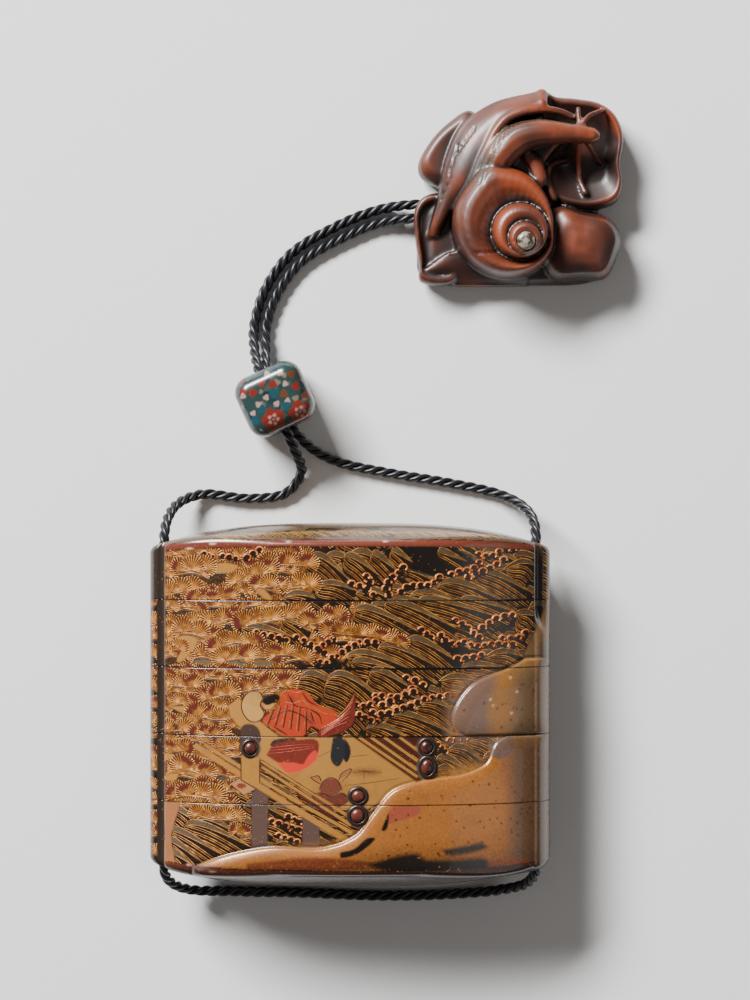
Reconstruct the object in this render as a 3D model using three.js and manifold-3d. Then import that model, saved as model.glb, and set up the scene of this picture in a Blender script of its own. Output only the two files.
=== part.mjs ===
// Inro: a lacquered case of four stacked boxes and a lid, strung on one silk cord
// with a bead (ojime) that slides on it and a carved wooden toggle (netsuke).
// Units are millimetres. The set lies on its back, +Z up: X runs across the case,
// +Y from its bottom box to its lid, and the origin is the middle of the small
// flat that the case rests on.
import * as THREE from 'three';
import { mergeGeometries, mergeVertices } from 'three/addons/utils/BufferGeometryUtils.js';
import Module from 'manifold-3d';

// ---- Driving dimensions ----
// Cross-section of the case: a lens between two rounded cord runners.
const FACE_SPAN = 39.75;      // half length of the ellipse that the faces follow
const FACE_RISE = 12.5;       // half depth of that ellipse
const MID_Z = 12.4;           // height of the middle plane, so the back has a flat
const FACE_END = 36.6;        // where the face stops and the runner starts
const RUNNER_X = 37.2;        // middle of the cord runner and of its channel
const RUNNER_REACH = 2.8;     // runner's half width, so the case is 80 wide
const RUNNER_RISE = 2.7;      // runner's half depth
const CHANNEL_RADIUS = 1.5;

// Heights along the stack.
const CASE_PITCH = 13.33;     // one box, from seam to seam
const LID_SEAM = 21.05;       // seam between the lid and the first box
const RIM_Y = 33.0;           // rim of the domed ends, at the middle of a face
const RIM_DROOP = 1.3;        // how much lower that rim is at its corners
const RIM_ROUND = 1.2;        // rounding of that rim
const RIDGE_Y = 36.25;        // top of the dome, on the middle plane
const RIDGE_FALL = 3.84;      // how much the dome falls towards a runner
const RISER_HEIGHT = 5.0;     // inner sleeve that stands above each box's shoulder
const FIT_GAP = 0.3;          // clearance round and above a sleeve
const FLOOR = 1.2;
const WALL = 1.3;
const SLEEVE_WALL = 0.9;

// Raised lacquer on the front: a hill, a rock and the caps of bridge posts.
const RELIEF = 0.9;
const CAP_RISE = 0.9;

// Cord, bead and toggle.
const CORD_RADIUS = 1.1;
const FLOOR_LINE = 1.15;      // height of the cord's middle where it lies on the table
const BEAD = { x: -15.1, y: 61.1, z: 7.1, across: 14.2, along: 12.8, round: 3.4, turn: 0.431, hole: 2.8 };
const NETSUKE = { x: 34.0, y: 103.5 };

// ---- Materials ----
const finish = (color, roughness, metalness = 0) =>
  new THREE.MeshStandardMaterial({ color, roughness, metalness });
const LACQUER = finish(0x6d4a26, 0.32);
const BEAD_GLASS = finish(0x3c6660, 0.18);
const BOXWOOD = finish(0x6e3520, 0.35);
const SHELL_INLAY = finish(0x9a917c, 0.3);
const SILK = finish(0x15161c, 0.6);

// ---- Solids: joins and cuts ----
const wasm = await Module();
wasm.setup();

function toSolid(geometry) {
  const bare = geometry.index ? geometry.toNonIndexed() : geometry.clone();
  for (const name of Object.keys(bare.attributes)) if (name !== 'position') bare.deleteAttribute(name);
  const merged = mergeVertices(bare, 1e-4);
  const vertProperties = new Float32Array(merged.attributes.position.array);
  const triVerts = new Uint32Array(merged.index.array);
  return new wasm.Manifold(new wasm.Mesh({ numProp: 3, vertProperties, triVerts }));
}

function toGeometry(solid) {
  const mesh = solid.getMesh();
  const geometry = new THREE.BufferGeometry();
  geometry.setAttribute('position', new THREE.Float32BufferAttribute(mesh.vertProperties, 3));
  geometry.setIndex(new THREE.Uint32BufferAttribute(mesh.triVerts, 1));
  return geometry;
}

const join = (solids) => solids.reduce((all, next) => all.add(next));

// A closed surface through rings of equal length. A ring end is closed by a fan
// round its middle, unless the ring has folded onto a line.
function loft(rings, { closeStart = true, closeEnd = true } = {}) {
  const count = rings[0].length;
  const points = rings.flat();
  const faces = [];
  rings.slice(1).forEach((_, band) => {
    for (let i = 0; i < count; i += 1) {
      const a = band * count + i;
      const b = band * count + ((i + 1) % count);
      faces.push([a, b, a + count], [b, b + count, a + count]);
    }
  });
  const close = (ring, first, flip) => {
    const middle = ring.reduce((sum, p) => sum.add(p), new THREE.Vector3()).divideScalar(count);
    const hub = points.push(middle) - 1;
    for (let i = 0; i < count; i += 1) {
      const edge = [first + i, first + ((i + 1) % count)];
      faces.push(flip ? [hub, edge[1], edge[0]] : [hub, edge[0], edge[1]]);
    }
  };
  if (closeStart) close(rings[0], 0, true);
  if (closeEnd) close(rings.at(-1), (rings.length - 1) * count, false);

  const geometry = new THREE.BufferGeometry().setFromPoints(points);
  geometry.setIndex(faces.flat());
  let volume = 0;
  for (const [a, b, c] of faces) volume += points[a].dot(points[b].clone().cross(points[c]));
  if (volume < 0) geometry.setIndex(faces.flatMap(([a, b, c]) => [a, c, b]));
  return geometry;
}

// ---- The case's cross-section ----
const faceDepth = (x, span = FACE_SPAN, rise = FACE_RISE) => rise * Math.sqrt(Math.max(0, 1 - (x / span) ** 2));
const frontZ = (x) => MID_Z + faceDepth(Math.min(Math.abs(x), FACE_END));

// Mirrors the points of one quarter, from the face's middle to the runner's tip,
// into the whole outline; the last point lies on the middle plane.
function mirrored(quarter) {
  const half = [...quarter, ...quarter.slice(0, -1).reverse().map(([x, z]) => [x, -z])];
  return [...half, ...half.slice().reverse().map(([x, z]) => [-x, z])];
}

function caseOutline() {
  const quarter = [];
  const flatHalf = FACE_SPAN * Math.sqrt(1 - (MID_Z / FACE_RISE) ** 2);
  const from = Math.asin(flatHalf / FACE_SPAN);
  const to = Math.asin(FACE_END / FACE_SPAN);
  for (let i = 0; i <= 6; i += 1) {
    const angle = from + ((to - from) * i) / 6;
    quarter.push([FACE_SPAN * Math.sin(angle), FACE_RISE * Math.cos(angle)]);
  }
  quarter.push([FACE_END + 0.25, faceDepth(FACE_END) - 0.5], [FACE_END + 0.35, RUNNER_RISE]);
  for (const degrees of [65, 35, 0]) {
    const angle = THREE.MathUtils.degToRad(degrees);
    quarter.push([RUNNER_X + RUNNER_REACH * Math.cos(angle), RUNNER_RISE * Math.sin(angle)]);
  }
  return mirrored(quarter);
}

// Inner lenses: the recess under a box, its neighbour's sleeve and the hollow itself.
function lensOutline(inset) {
  const end = 35.1 - inset;
  const span = 38.4 - inset;
  const rise = FACE_RISE - WALL - inset;
  const quarter = [];
  for (let i = 0; i <= 4; i += 1) {
    const x = (end - 1) * Math.sin((i / 4) * (Math.PI / 2));
    quarter.push([x, faceDepth(x, span, rise)]);
  }
  quarter.push([end, faceDepth(end, span, rise) - 1], [end, 0]);
  return mirrored(quarter.slice(1));
}

const OUTLINE = caseOutline();
const RECESS = lensOutline(0);
const SLEEVE_OUT = lensOutline(FIT_GAP);
const HOLLOW = lensOutline(FIT_GAP + SLEEVE_WALL);

function prism(outline, fromY, toY) {
  const shape = new THREE.Shape(outline.map(([x, z]) => new THREE.Vector2(x, -z - MID_Z)));
  const geometry = new THREE.ExtrudeGeometry(shape, { depth: toY - fromY, bevelEnabled: false });
  geometry.rotateX(-Math.PI / 2);
  return toSolid(geometry.translate(0, fromY, 0));
}

// Ring of the outline, drawn in by inset, at the height that rise(x, z) gives.
const outlineRing = (inset, rise) => OUTLINE.map(([x, z]) => {
  const ringX = x * (1 - inset / (RUNNER_X + RUNNER_REACH));
  const ringZ = z * (1 - inset / FACE_RISE);
  return new THREE.Vector3(ringX, rise(ringX, ringZ), MID_Z + ringZ);
});

// One end of the stack: a low dome whose rim is rounded, from the seam outwards.
function domedBlock(seamY, side) {
  const rim = (x) => RIM_Y - RIM_DROOP * (Math.abs(x) / FACE_END) ** 5;
  const ridge = (x) => RIDGE_Y - RIDGE_FALL * (Math.abs(x) / 37) ** 3;
  const rounding = (inset) => {
    const left = Math.max(0, RIM_ROUND - inset);
    return RIM_ROUND - Math.sqrt(RIM_ROUND ** 2 - left ** 2);
  };
  const dome = (inset) => (x, z) => {
    const share = Math.min(1, Math.abs(z) / (FACE_RISE - RIM_ROUND));
    return side * (rim(x) + (ridge(x) - rim(x)) * (1 - share ** 2) - rounding(inset));
  };
  const wallTop = (x) => side * (rim(x) - RIM_ROUND);
  const rings = [outlineRing(0, () => seamY), outlineRing(0, wallTop)];
  for (const inset of [0.4, RIM_ROUND, 5, FACE_RISE]) rings.push(outlineRing(inset, dome(inset)));
  return toSolid(loft(rings, { closeEnd: false }));
}

// ---- Raised lacquer ----
// A hill or rock that stands out from the front. edge lists points along its rim,
// and it runs from there to the foot line; its shoulder is rounded.
function reliefSheet(edge, foot, height) {
  const rim = new THREE.SplineCurve(edge.map(([x, y]) => new THREE.Vector2(x, y)));
  const stations = rim.getSpacedPoints(14);
  const rings = stations.map(({ x, y }) => {
    const [footX, footY] = foot(x, y);
    const along = (share, lift) => {
      const px = x + (footX - x) * share;
      return new THREE.Vector3(px, y + (footY - y) * share, frontZ(px) + lift);
    };
    const reach = Math.hypot(footX - x, footY - y);
    const shoulder = (mm) => Math.min(mm / reach, 0.5);
    return [
      along(0, -0.6), along(shoulder(0.15), height * 0.45), along(shoulder(1.2), height),
      along(0.75, height * 0.8), along(1, 0.05), along(1, -0.8),
    ];
  });
  return toSolid(loft(rings));
}

// Hill over the lower boxes: its rim climbs from the left foot to the right side.
const hillRim = [
  [-31, -31.6], [-24.7, -29.1], [-15.5, -27.2], [-5, -27.2], [1.2, -24.8], [4.6, -20.6],
  [8.4, -16.1], [15, -14.1], [22.5, -13], [27, -10.8], [28.6, -7.2], [31, -5.6],
];
const hill = reliefSheet(hillRim, (x) => [Math.min(x + 4, 35.8), -32.2], RELIEF);

// Rock above it, rounded on its left and running off the right side.
const rockRim = [[31.5, 7.7], [27.9, 6.4], [24, 4.4], [21.3, 1.2], [20.2, -2], [21.2, -4.3], [23, -5.6]];
const rock = reliefSheet(rockRim, (x, y) => [36, y < -2 ? -5.6 : y * 0.8], RELIEF);

// Rounded cap of a bridge post, seen from above.
function postCap(x, y, width, length) {
  const cap = new THREE.SphereGeometry(1, 10, 6).rotateX(Math.PI / 2);
  cap.scale(width / 2, length / 2, CAP_RISE + 0.5);
  return toSolid(cap.translate(x, y, frontZ(x) - 0.5));
}
const postCaps = [
  postCap(-19.4, -7.7, 3.4, 3.2), postCap(1.9, -17.1, 3.6, 3.2), postCap(1.6, -20.9, 3.6, 3.4),
  postCap(15.1, -7.7, 3.4, 3.4), postCap(15.2, -11.5, 3.6, 4.2),
];
const raisedWork = join([hill, rock, ...postCaps]);

// What of the raised work belongs to the box between two seams.
function reliefBetween(fromY, toY) {
  const band = new THREE.BoxGeometry(100, toY - fromY, 60);
  return raisedWork.intersect(toSolid(band.translate(0, (fromY + toY) / 2, MID_Z)));
}

// ---- Lid and boxes ----
const channels = join([-RUNNER_X, RUNNER_X].map((x) => {
  const drill = new THREE.CylinderGeometry(CHANNEL_RADIUS, CHANNEL_RADIUS, 90, 16);
  return toSolid(drill.translate(x, 0, MID_Z));
}));
const recessTop = (seamY) => seamY + RISER_HEIGHT + FIT_GAP;
const sleeve = (shoulderY) => prism(SLEEVE_OUT, shoulderY - 1, shoulderY + RISER_HEIGHT);

function lid() {
  const hollowTop = RIM_Y - 2.4;
  return domedBlock(LID_SEAM, 1)
    .subtract(prism(RECESS, LID_SEAM - 1, hollowTop))
    .subtract(channels);
}

function middleBox(shoulderY) {
  const lowSeam = shoulderY - CASE_PITCH;
  const floorY = recessTop(lowSeam) + FLOOR;
  return prism(OUTLINE, lowSeam, shoulderY)
    .add(reliefBetween(lowSeam, shoulderY))
    .add(sleeve(shoulderY))
    .subtract(prism(RECESS, lowSeam - 1, recessTop(lowSeam)))
    .subtract(prism(HOLLOW, floorY, shoulderY + RISER_HEIGHT + 1))
    .subtract(channels);
}

function bottomBox(shoulderY) {
  return domedBlock(shoulderY, -1)
    .add(reliefBetween(-RIM_Y, shoulderY))
    .add(sleeve(shoulderY))
    .subtract(prism(HOLLOW, -RIM_Y + 1.6, shoulderY + RISER_HEIGHT + 1))
    .subtract(channels);
}

// ---- Bead ----
function roundedBlock(width, length, height, round) {
  const inner = new THREE.Shape();
  const [w, l] = [width / 2 - round, length / 2 - round];
  inner.moveTo(-w, -l - round);
  inner.lineTo(w, -l - round);
  inner.absarc(w, -l, round, -Math.PI / 2, 0);
  inner.lineTo(w + round, l);
  inner.absarc(w, l, round, 0, Math.PI / 2);
  inner.lineTo(-w, l + round);
  inner.absarc(-w, l, round, Math.PI / 2, Math.PI);
  inner.lineTo(-w - round, -l);
  inner.absarc(-w, -l, round, Math.PI, Math.PI * 1.5);
  const bevel = round * 0.72;
  const geometry = new THREE.ExtrudeGeometry(inner, {
    depth: height - 2 * bevel, bevelEnabled: true, bevelThickness: bevel, bevelSize: bevel,
    bevelOffset: -bevel, bevelSegments: 3, curveSegments: 3,
  });
  return geometry.translate(0, 0, bevel);
}

function bead() {
  const block = toSolid(roundedBlock(BEAD.across, BEAD.along, BEAD.z * 2, BEAD.round));
  const hole = new THREE.CylinderGeometry(BEAD.hole, BEAD.hole, BEAD.along + 2, 16);
  return block.subtract(toSolid(hole.translate(0, 0, BEAD.z)));
}

// ---- Toggle: a snail on a folded leaf ----
// Its own frame stands on the table below the middle of the carving.
const vector = ([x, y, z = 0]) => new THREE.Vector3(x, y, z);
const throughStops = (stops, closed = false) =>
  new THREE.CatmullRomCurve3(stops.map(vector), closed, 'centripetal');

// A rounded roll through [x, y, z, radius] stops, tapering between them.
function roll(stops, { sides = 8, steps = 8 } = {}) {
  const path = throughStops(stops);
  const radii = throughStops(stops.map(([, , , radius], i) => [i, radius]));
  const ring = (t, shrink, shift) => {
    const forward = path.getTangent(t);
    const side = new THREE.Vector3(-forward.y, forward.x, 0).normalize();
    const up = side.clone().cross(forward);
    const radius = radii.getPoint(t).y;
    const centre = path.getPoint(t).addScaledVector(forward, radius * shift);
    return Array.from({ length: sides }, (_, i) => {
      const angle = (i / sides) * Math.PI * 2;
      return centre.clone()
        .addScaledVector(side, Math.cos(angle) * radius * shrink)
        .addScaledVector(up, Math.sin(angle) * radius * shrink);
    });
  };
  const rings = [ring(0, 0.55, -0.75)];
  for (let i = 0; i <= steps; i += 1) rings.push(ring(i / steps, 1, 0));
  rings.push(ring(1, 0.55, 0.75));
  return toSolid(loft(rings));
}

// A lobe with the given plan: profile lists [share of the way to the middle, height].
function lobe(plan, middle, profile, sides = 22) {
  const rim = throughStops(plan, true).getSpacedPoints(sides).slice(0, -1);
  const hub = vector(middle);
  return toSolid(loft(profile.map(([share, z]) => rim.map((p) => p.clone().lerp(hub, share).setZ(z)))));
}

// A leaf fold: a band between two ridges, crowned by crest between them.
function fold(outerRidge, innerRidge, crest, steps = 12) {
  const [outer, inner] = [throughStops(outerRidge), throughStops(innerRidge)];
  const rings = Array.from({ length: steps + 1 }, (_, i) => {
    const [from, to] = [outer.getPoint(i / steps), inner.getPoint(i / steps)];
    const across = (share, lift) => from.clone().lerp(to, share).add(new THREE.Vector3(0, 0, lift));
    return [
      across(0, 0), across(0.25, crest * 0.9), across(0.55, crest), across(0.9, crest * 0.3), across(1, 0),
      to.clone().setZ(1), from.clone().setZ(1.5),
    ];
  });
  return toSolid(loft(rings));
}

function leaf() {
  const plate = lobe([
    [-19.6, -17.6], [-20.4, -10], [-20.2, -3], [-15.8, -0.4], [-18, 5], [-13, 12.6], [-5, 16.8], [4.4, 19.4],
    [12, 17.6], [18.6, 15], [20.4, 9], [20, 2], [15.8, -3.6], [20, -8.5], [17.4, -17.2], [2, -19], [-9, -19],
  ], [0, -2], [[0, 0], [0, 2.6], [0.06, 4.4], [0.16, 5.2]], 32);
  const bed = lobe([
    [-10.4, 0], [-7, 8], [-3.4, 13.4], [3, 15.6], [9, 14.4], [11, 11.6], [8, 8.6], [5, 4], [4.6, 0], [5.4, -6],
    [2, -14], [-8, -12],
  ], [-1, 1], [[0, 3], [0.1, 8.8], [0.3, 9]], 18);
  const backLobe = lobe([
    [-15.4, 0.8], [-19.6, 2.7], [-20.3, 5.2], [-17.7, 10.2], [-13.7, 14.2], [-9.6, 16.4], [-7, 12], [-10, 4],
  ], [-13.6, 8], [[0, 1.5], [0, 4.6], [0.08, 6.4], [0.3, 7.2]], 18);
  const mainFold = fold(
    [[3.8, 19.8, 7.4], [-5.4, 17.4, 7.4], [-11.6, 12.8, 7.4], [-14.7, 6, 7.4], [-16.1, -1.4, 7], [-17.6, -6.8, 6],
      [-18.4, -9.4, 4.6]],
    [[3.8, 15.9, 10.8], [-3.1, 13.6, 10.8], [-6.8, 7.8, 10.8], [-10.1, 1.4, 10], [-13.6, -3.9, 7.6], [-15.2, -6.9, 6.6],
      [-16.2, -9.6, 5]],
    1.1,
  );
  const dish = lobe([
    [5.2, 20.2], [7.1, 19.1], [11.7, 18.6], [16.4, 17.7], [19.5, 15.5], [21.3, 11], [20.7, 5], [21.2, 1.3],
    [20.1, -2.1], [16.4, -3.7], [11.7, -3.7], [7.4, -2.1], [5, 4], [4, 12],
  ], [13.4, 7.6], [[0, 2], [0, 5.4], [0.03, 7], [0.1, 7.8], [0.2, 7], [0.42, 5.4], [0.8, 5]], 28);
  const pillow = lobe([
    [7.8, -2.9], [13, -4.2], [18.4, -5.4], [20.8, -9], [20.2, -13], [17.9, -17.6], [12.8, -18.1], [6.6, -17.8],
    [4, -12], [5, -7],
  ], [12.6, -11.4], [[0, 2], [0, 4.6], [0.05, 6.8], [0.18, 8.8], [0.45, 10], [0.8, 10.4]]);
  const outerLobe = lobe([
    [-15.8, -0.6], [-19.2, -1.2], [-21, -4], [-20.8, -10.1], [-20, -15.6], [-20, -18.2], [-13, -18.6], [-12, -9],
    [-13, -4],
  ], [-16, -9], [[0, 2], [0, 5], [0.06, 6], [0.14, 6.2], [0.3, 4.8]], 18);
  const lowFold = fold(
    [[-20, -18.2, 3.4], [-13, -19.2, 3.6], [-4, -19.3, 3.4], [2, -19.2, 3]],
    [[-18.6, -15.6, 5.2], [-13.4, -12.6, 6.6], [-6, -13, 6.6], [1, -15, 6]],
    1.4, 6,
  );
  const nub = roll([[4.6, 19.2, 7.6, 1.3], [4.6, 16.8, 10, 1.1]], { sides: 6, steps: 2 });
  const innerRidge = roll([
    [-9.6, 0.8, 10, 0.9], [-6.6, 7.8, 10.8, 0.9], [-2.8, 13.6, 10.8, 0.9], [3.4, 15.7, 10.4, 0.9],
    [8.2, 15.4, 9.4, 0.8], [11.2, 14.2, 9, 0.7],
  ], { sides: 6, steps: 10 });
  return [plate, bed, backLobe, mainFold, dish, pillow, outerLobe, lowFold, nub, innerRidge];
}

function snailBody() {
  const trunk = roll([
    [-6.4, 2.6, 9, 3], [-3.9, 6.6, 10, 3.4], [-0.3, 9.8, 10.6, 3.3], [3.9, 10.9, 11, 2.9],
    [8.3, 10.9, 11, 2.5], [12, 10.7, 11, 1.9], [14.8, 10.4, 10.8, 1.6],
  ], { sides: 10, steps: 10 });
  const foot = roll([[1, 7.6, 8.6, 1.4], [3.4, 4.6, 8.6, 1.6], [4.4, 1.6, 8.6, 1.6]], { sides: 6, steps: 4 });
  const horns = [
    [[12.2, 12, 11.2, 0.6], [13.7, 14.2, 10.6, 0.55], [16.9, 15.9, 8.4, 0.5]],
    [[12, 12, 11.2, 0.6], [11.8, 16, 9.6, 0.55]],
    [[13.2, 9.6, 10, 0.6], [16.7, 5.4, 6, 0.45]],
    [[11.7, 9.4, 10.4, 0.75], [12.2, 4.6, 7, 0.65], [12.5, 1.6, 6.6, 0.65], [13.5, -0.8, 7.6, 0.7]],
    [[9.8, 6.2, 5.6, 0.5], [6.6, 4.9, 7, 0.7], [5.8, 2, 7.8, 0.7], [7.2, -2, 7.8, 0.7]],
  ].map((stops) => roll(stops, { sides: 5, steps: stops.length * 2 - 2 }));
  return [trunk, foot, ...horns];
}

const APEX = [1, -11.2, 16.9];
const APEX_RADIUS = 1.8;

// The coiled shell, from its mouth at the upper left: a wide body whorl with two
// smaller ones on it, each set off centre towards the last.
function snailShell() {
  const sides = 24;
  const edge = throughStops([
    [6.9, -9], [6.4, -13], [3.1, -16.5], [-1.6, -17.9], [-7, -16.9], [-11.4, -13.4], [-13.4, -8], [-13, -3.6],
    [-10.6, 0.8], [-7, 5], [-3.4, 4.7], [1.4, 3], [5, -0.7], [6.6, -4.6],
  ], true).getSpacedPoints(sides).slice(0, -1);
  const circle = ([x, y], radius) => edge.map((p) => {
    const angle = Math.atan2(p.y - APEX[1], p.x - APEX[0]);
    return new THREE.Vector3(x + radius * Math.cos(angle), y + radius * Math.sin(angle), 0);
  });
  const levels = [edge, circle([0.1, -8.9], 5.6), circle([0.9, -10.5], 3.2), circle(APEX, APEX_RADIUS)];
  const profiles = [
    [[0, 4], [0, 8.6], [0.06, 11.4], [0.22, 13.6], [0.42, 14.1], [0.75, 12.8], [0.96, 12]],
    [[0, 13.4], [0.2, 15], [0.5, 15.9], [0.9, 15.2]],
    [[0, 16], [0.4, 16.9], [0.9, 16.8]],
  ];
  const rings = profiles.flatMap((profile, k) => profile.map(([share, z]) =>
    levels[k].map((p, i) => p.clone().lerp(levels[k + 1][i], share).setZ(z))));
  return toSolid(loft(rings));
}

function netsuke() {
  const carved = join([...leaf(), ...snailBody(), snailShell()]);
  const seat = new THREE.CylinderGeometry(APEX_RADIUS + 0.1, APEX_RADIUS + 0.1, 2, 16);
  seat.rotateX(Math.PI / 2).translate(APEX[0], APEX[1], APEX[2] + 0.4);
  // Cord holes: one in the left side for both strands, met by one from below.
  const mouth = new THREE.CylinderGeometry(1.6, 1.6, 16, 12);
  mouth.rotateZ(Math.PI / 2).scale(1, 2, 1).translate(-18, -4, 3.1);
  const under = new THREE.CylinderGeometry(2, 2, 6, 12).rotateX(Math.PI / 2).translate(-11.6, -4, 1);
  return carved.subtract(toSolid(seat)).subtract(toSolid(mouth)).subtract(toSolid(under));
}

// A low disc let into the shell's tip.
function apexInlay() {
  const turned = [[0, -0.5], [APEX_RADIUS, -0.5], [APEX_RADIUS, 0.1], [1.2, 0.5], [0, 0.7]];
  const disc = new THREE.LatheGeometry(turned.map(([r, h]) => new THREE.Vector2(r, h)), 16);
  return disc.rotateX(Math.PI / 2).translate(...APEX);
}

// ---- Cord ----
// One cord: out of the toggle, through the bead, down the left channel, under the
// case, up the right channel and back the same way.
const leftStrand = [
  [18, 100.6, 3.1], [13, 100.9, 3], [5, 99.8, 1.3], [-4, 96.1, FLOOR_LINE], [-12.2, 91, FLOOR_LINE],
  [-17.4, 83.8, FLOOR_LINE], [-19.7, 76, 1.6], [-19.4, 70.8, 4.6],
];
const leftFall = [
  [-11.2, 50.8, 6], [-10, 46.4, 2.2], [-13.2, 42.2, FLOOR_LINE], [-21, 41.1, FLOOR_LINE],
  [-30, 42, 1.4], [-34.8, 40.2, 4.8], [-36.8, 36.8, 9.4],
];
const underLoop = [
  [-36.2, -36, 8.8], [-32.4, -38.3, 4], [-24, -39, 1.2], [-10, -39.3, FLOOR_LINE],
  [6, -39.9, FLOOR_LINE], [20, -39.6, FLOOR_LINE], [30.2, -38.5, 3], [35.6, -36.4, 8],
];
const rightRise = [
  [36.8, 36.8, 9.4], [34.6, 39.8, 4.8], [29.6, 42.2, 1.4], [19.9, 44.3, FLOOR_LINE],
  [8, 46.3, FLOOR_LINE], [-2.2, 48.5, 1.4], [-8.2, 51.6, 3.6],
];
const rightStrand = [
  [-17.2, 71.2, 2.8], [-17.1, 76.4, FLOOR_LINE], [-14.9, 82.8, FLOOR_LINE], [-10.2, 89.2, FLOOR_LINE],
  [-2.8, 93.7, FLOOR_LINE], [5.7, 97.2, 1.3], [13, 98.1, 3], [18, 98.4, 3.1],
];

// The two strands lie side by side in the bead's hole, one a little higher.
function beadPass(side, outward) {
  const along = new THREE.Vector3(Math.sin(BEAD.turn), -Math.cos(BEAD.turn), 0);
  const across = new THREE.Vector3(Math.cos(BEAD.turn), Math.sin(BEAD.turn), 0);
  return [-1, 1].map((end) => new THREE.Vector3(BEAD.x, BEAD.y, BEAD.z)
    .addScaledVector(along, end * outward * (BEAD.along / 2 - 0.6))
    .addScaledVector(across, side * 0.65)
    .add(new THREE.Vector3(0, 0, -side * 0.97))
    .toArray());
}

function channelPass(x, heading) {
  const ends = [33, 27, -27, -33].map((y) => y * heading);
  return ends.map((y, i) => [x, y, i % 3 ? MID_Z : MID_Z - 0.3]);
}

// Steps follow the route's points, so bends get more of them than the straight runs,
// and the cord never sinks into the table.
class CordRoute extends THREE.CatmullRomCurve3 {
  getUtoTmapping(u) {
    return u;
  }

  getPoint(t, target) {
    const point = super.getPoint(t, target);
    point.z = Math.max(point.z, FLOOR_LINE);
    return point;
  }
}

function cordTube() {
  const route = [
    ...leftStrand, ...beadPass(-1, 1), ...leftFall, ...channelPass(-RUNNER_X, 1),
    ...underLoop, ...channelPass(RUNNER_X, -1), ...rightRise, ...beadPass(1, -1), ...rightStrand,
  ].map((p) => new THREE.Vector3(...p));
  const section = new THREE.Shape();
  for (let i = 0; i <= 8; i += 1) {
    const angle = ((i + 0.5) / 8) * Math.PI * 2;
    section[i ? 'lineTo' : 'moveTo'](Math.cos(angle) * CORD_RADIUS, Math.sin(angle) * CORD_RADIUS);
  }
  const path = new CordRoute(route, false, 'centripetal');
  return new THREE.ExtrudeGeometry(section, { steps: 75, bevelEnabled: false, extrudePath: path });
}

// ---- Assembly ----
const inro = new THREE.Group();

function place(name, geometry, material, group = inro) {
  const mesh = new THREE.Mesh(geometry, material);
  mesh.name = name;
  group.add(mesh);
  return mesh;
}

place('inro_lid', toGeometry(lid()), LACQUER);
for (let number = 1; number <= 4; number += 1) {
  const shoulderY = LID_SEAM - (number - 1) * CASE_PITCH;
  const box = number < 4 ? middleBox(shoulderY) : bottomBox(shoulderY);
  place(`inro_case_${number}`, toGeometry(box), LACQUER);
}

const ojime = place('ojime_bead', toGeometry(bead()), BEAD_GLASS);
ojime.position.set(BEAD.x, BEAD.y, 0);
ojime.rotation.z = BEAD.turn;

const toggle = new THREE.Group();
toggle.position.set(NETSUKE.x, NETSUKE.y, 0);
inro.add(toggle);
place('netsuke', toGeometry(netsuke()), BOXWOOD, toggle);
place('netsuke_shell_inlay', toGeometry(toSolid(apexInlay())), SHELL_INLAY, toggle);

place('cord', mergeGeometries([cordTube()]), SILK);

export default inro;
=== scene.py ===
"""Inro: a lacquered case of four boxes and a lid on a silk cord, with a bead and a carved toggle.

Lengths in this file are millimetres until a mesh is made, and +Z is up.
"""
import math
import random

import bmesh
import bpy
import numpy as np
from mathutils import Matrix, Vector


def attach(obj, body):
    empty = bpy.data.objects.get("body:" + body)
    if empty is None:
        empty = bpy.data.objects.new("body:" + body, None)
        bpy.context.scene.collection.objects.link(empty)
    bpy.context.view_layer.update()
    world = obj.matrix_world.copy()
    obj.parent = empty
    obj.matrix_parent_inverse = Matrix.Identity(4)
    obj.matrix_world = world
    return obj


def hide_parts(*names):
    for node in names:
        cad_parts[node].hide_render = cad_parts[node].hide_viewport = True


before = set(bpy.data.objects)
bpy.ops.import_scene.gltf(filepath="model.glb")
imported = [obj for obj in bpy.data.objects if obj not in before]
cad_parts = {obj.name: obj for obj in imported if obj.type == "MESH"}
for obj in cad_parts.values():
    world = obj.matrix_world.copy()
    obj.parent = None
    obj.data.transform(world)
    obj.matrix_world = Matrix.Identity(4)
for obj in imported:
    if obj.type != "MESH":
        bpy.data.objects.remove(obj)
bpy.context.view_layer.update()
MM = 0.001


# ---------------------------------------------------------------- Table, light and camera
# The set lies on a pale table under one large softbox at the upper left, with a weak
# fill from the other side, seen from straight above.
def shader_of(owner, kind):
    owner.use_nodes = True
    nodes = owner.node_tree.nodes
    return next(n for n in nodes if n.type == kind)


table_mesh = bpy.data.meshes.new("table")
bm = bmesh.new()
bmesh.ops.create_grid(bm, x_segments=1, y_segments=1, size=1.5)
bm.to_mesh(table_mesh)
bm.free()
table = bpy.data.objects.new("table", table_mesh)
bpy.context.collection.objects.link(table)
paper = bpy.data.materials.new("pale_table")
paper_shader = shader_of(paper, "BSDF_PRINCIPLED")
paper_shader.inputs["Base Color"].default_value = (0.80, 0.795, 0.79, 1)
paper_shader.inputs["Roughness"].default_value = 0.85
table_mesh.materials.append(paper)

camera_data = bpy.data.cameras.new("camera")
camera_data.lens = 100
camera_data.sensor_width = 36
camera_data.clip_start = 0.01
camera = bpy.data.objects.new("camera", camera_data)
camera.location = (0.0050, 0.0408, 0.568)
bpy.context.collection.objects.link(camera)
bpy.context.scene.camera = camera


def softbox(name, place, target, size, watts):
    light = bpy.data.lights.new(name, "AREA")
    light.shape = "RECTANGLE"
    light.size, light.size_y = size
    light.energy = watts
    lamp = bpy.data.objects.new(name, light)
    lamp.location = place
    aim = Vector(target) - Vector(place)
    lamp.rotation_euler = aim.to_track_quat("-Z", "Y").to_euler()
    bpy.context.collection.objects.link(lamp)


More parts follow.
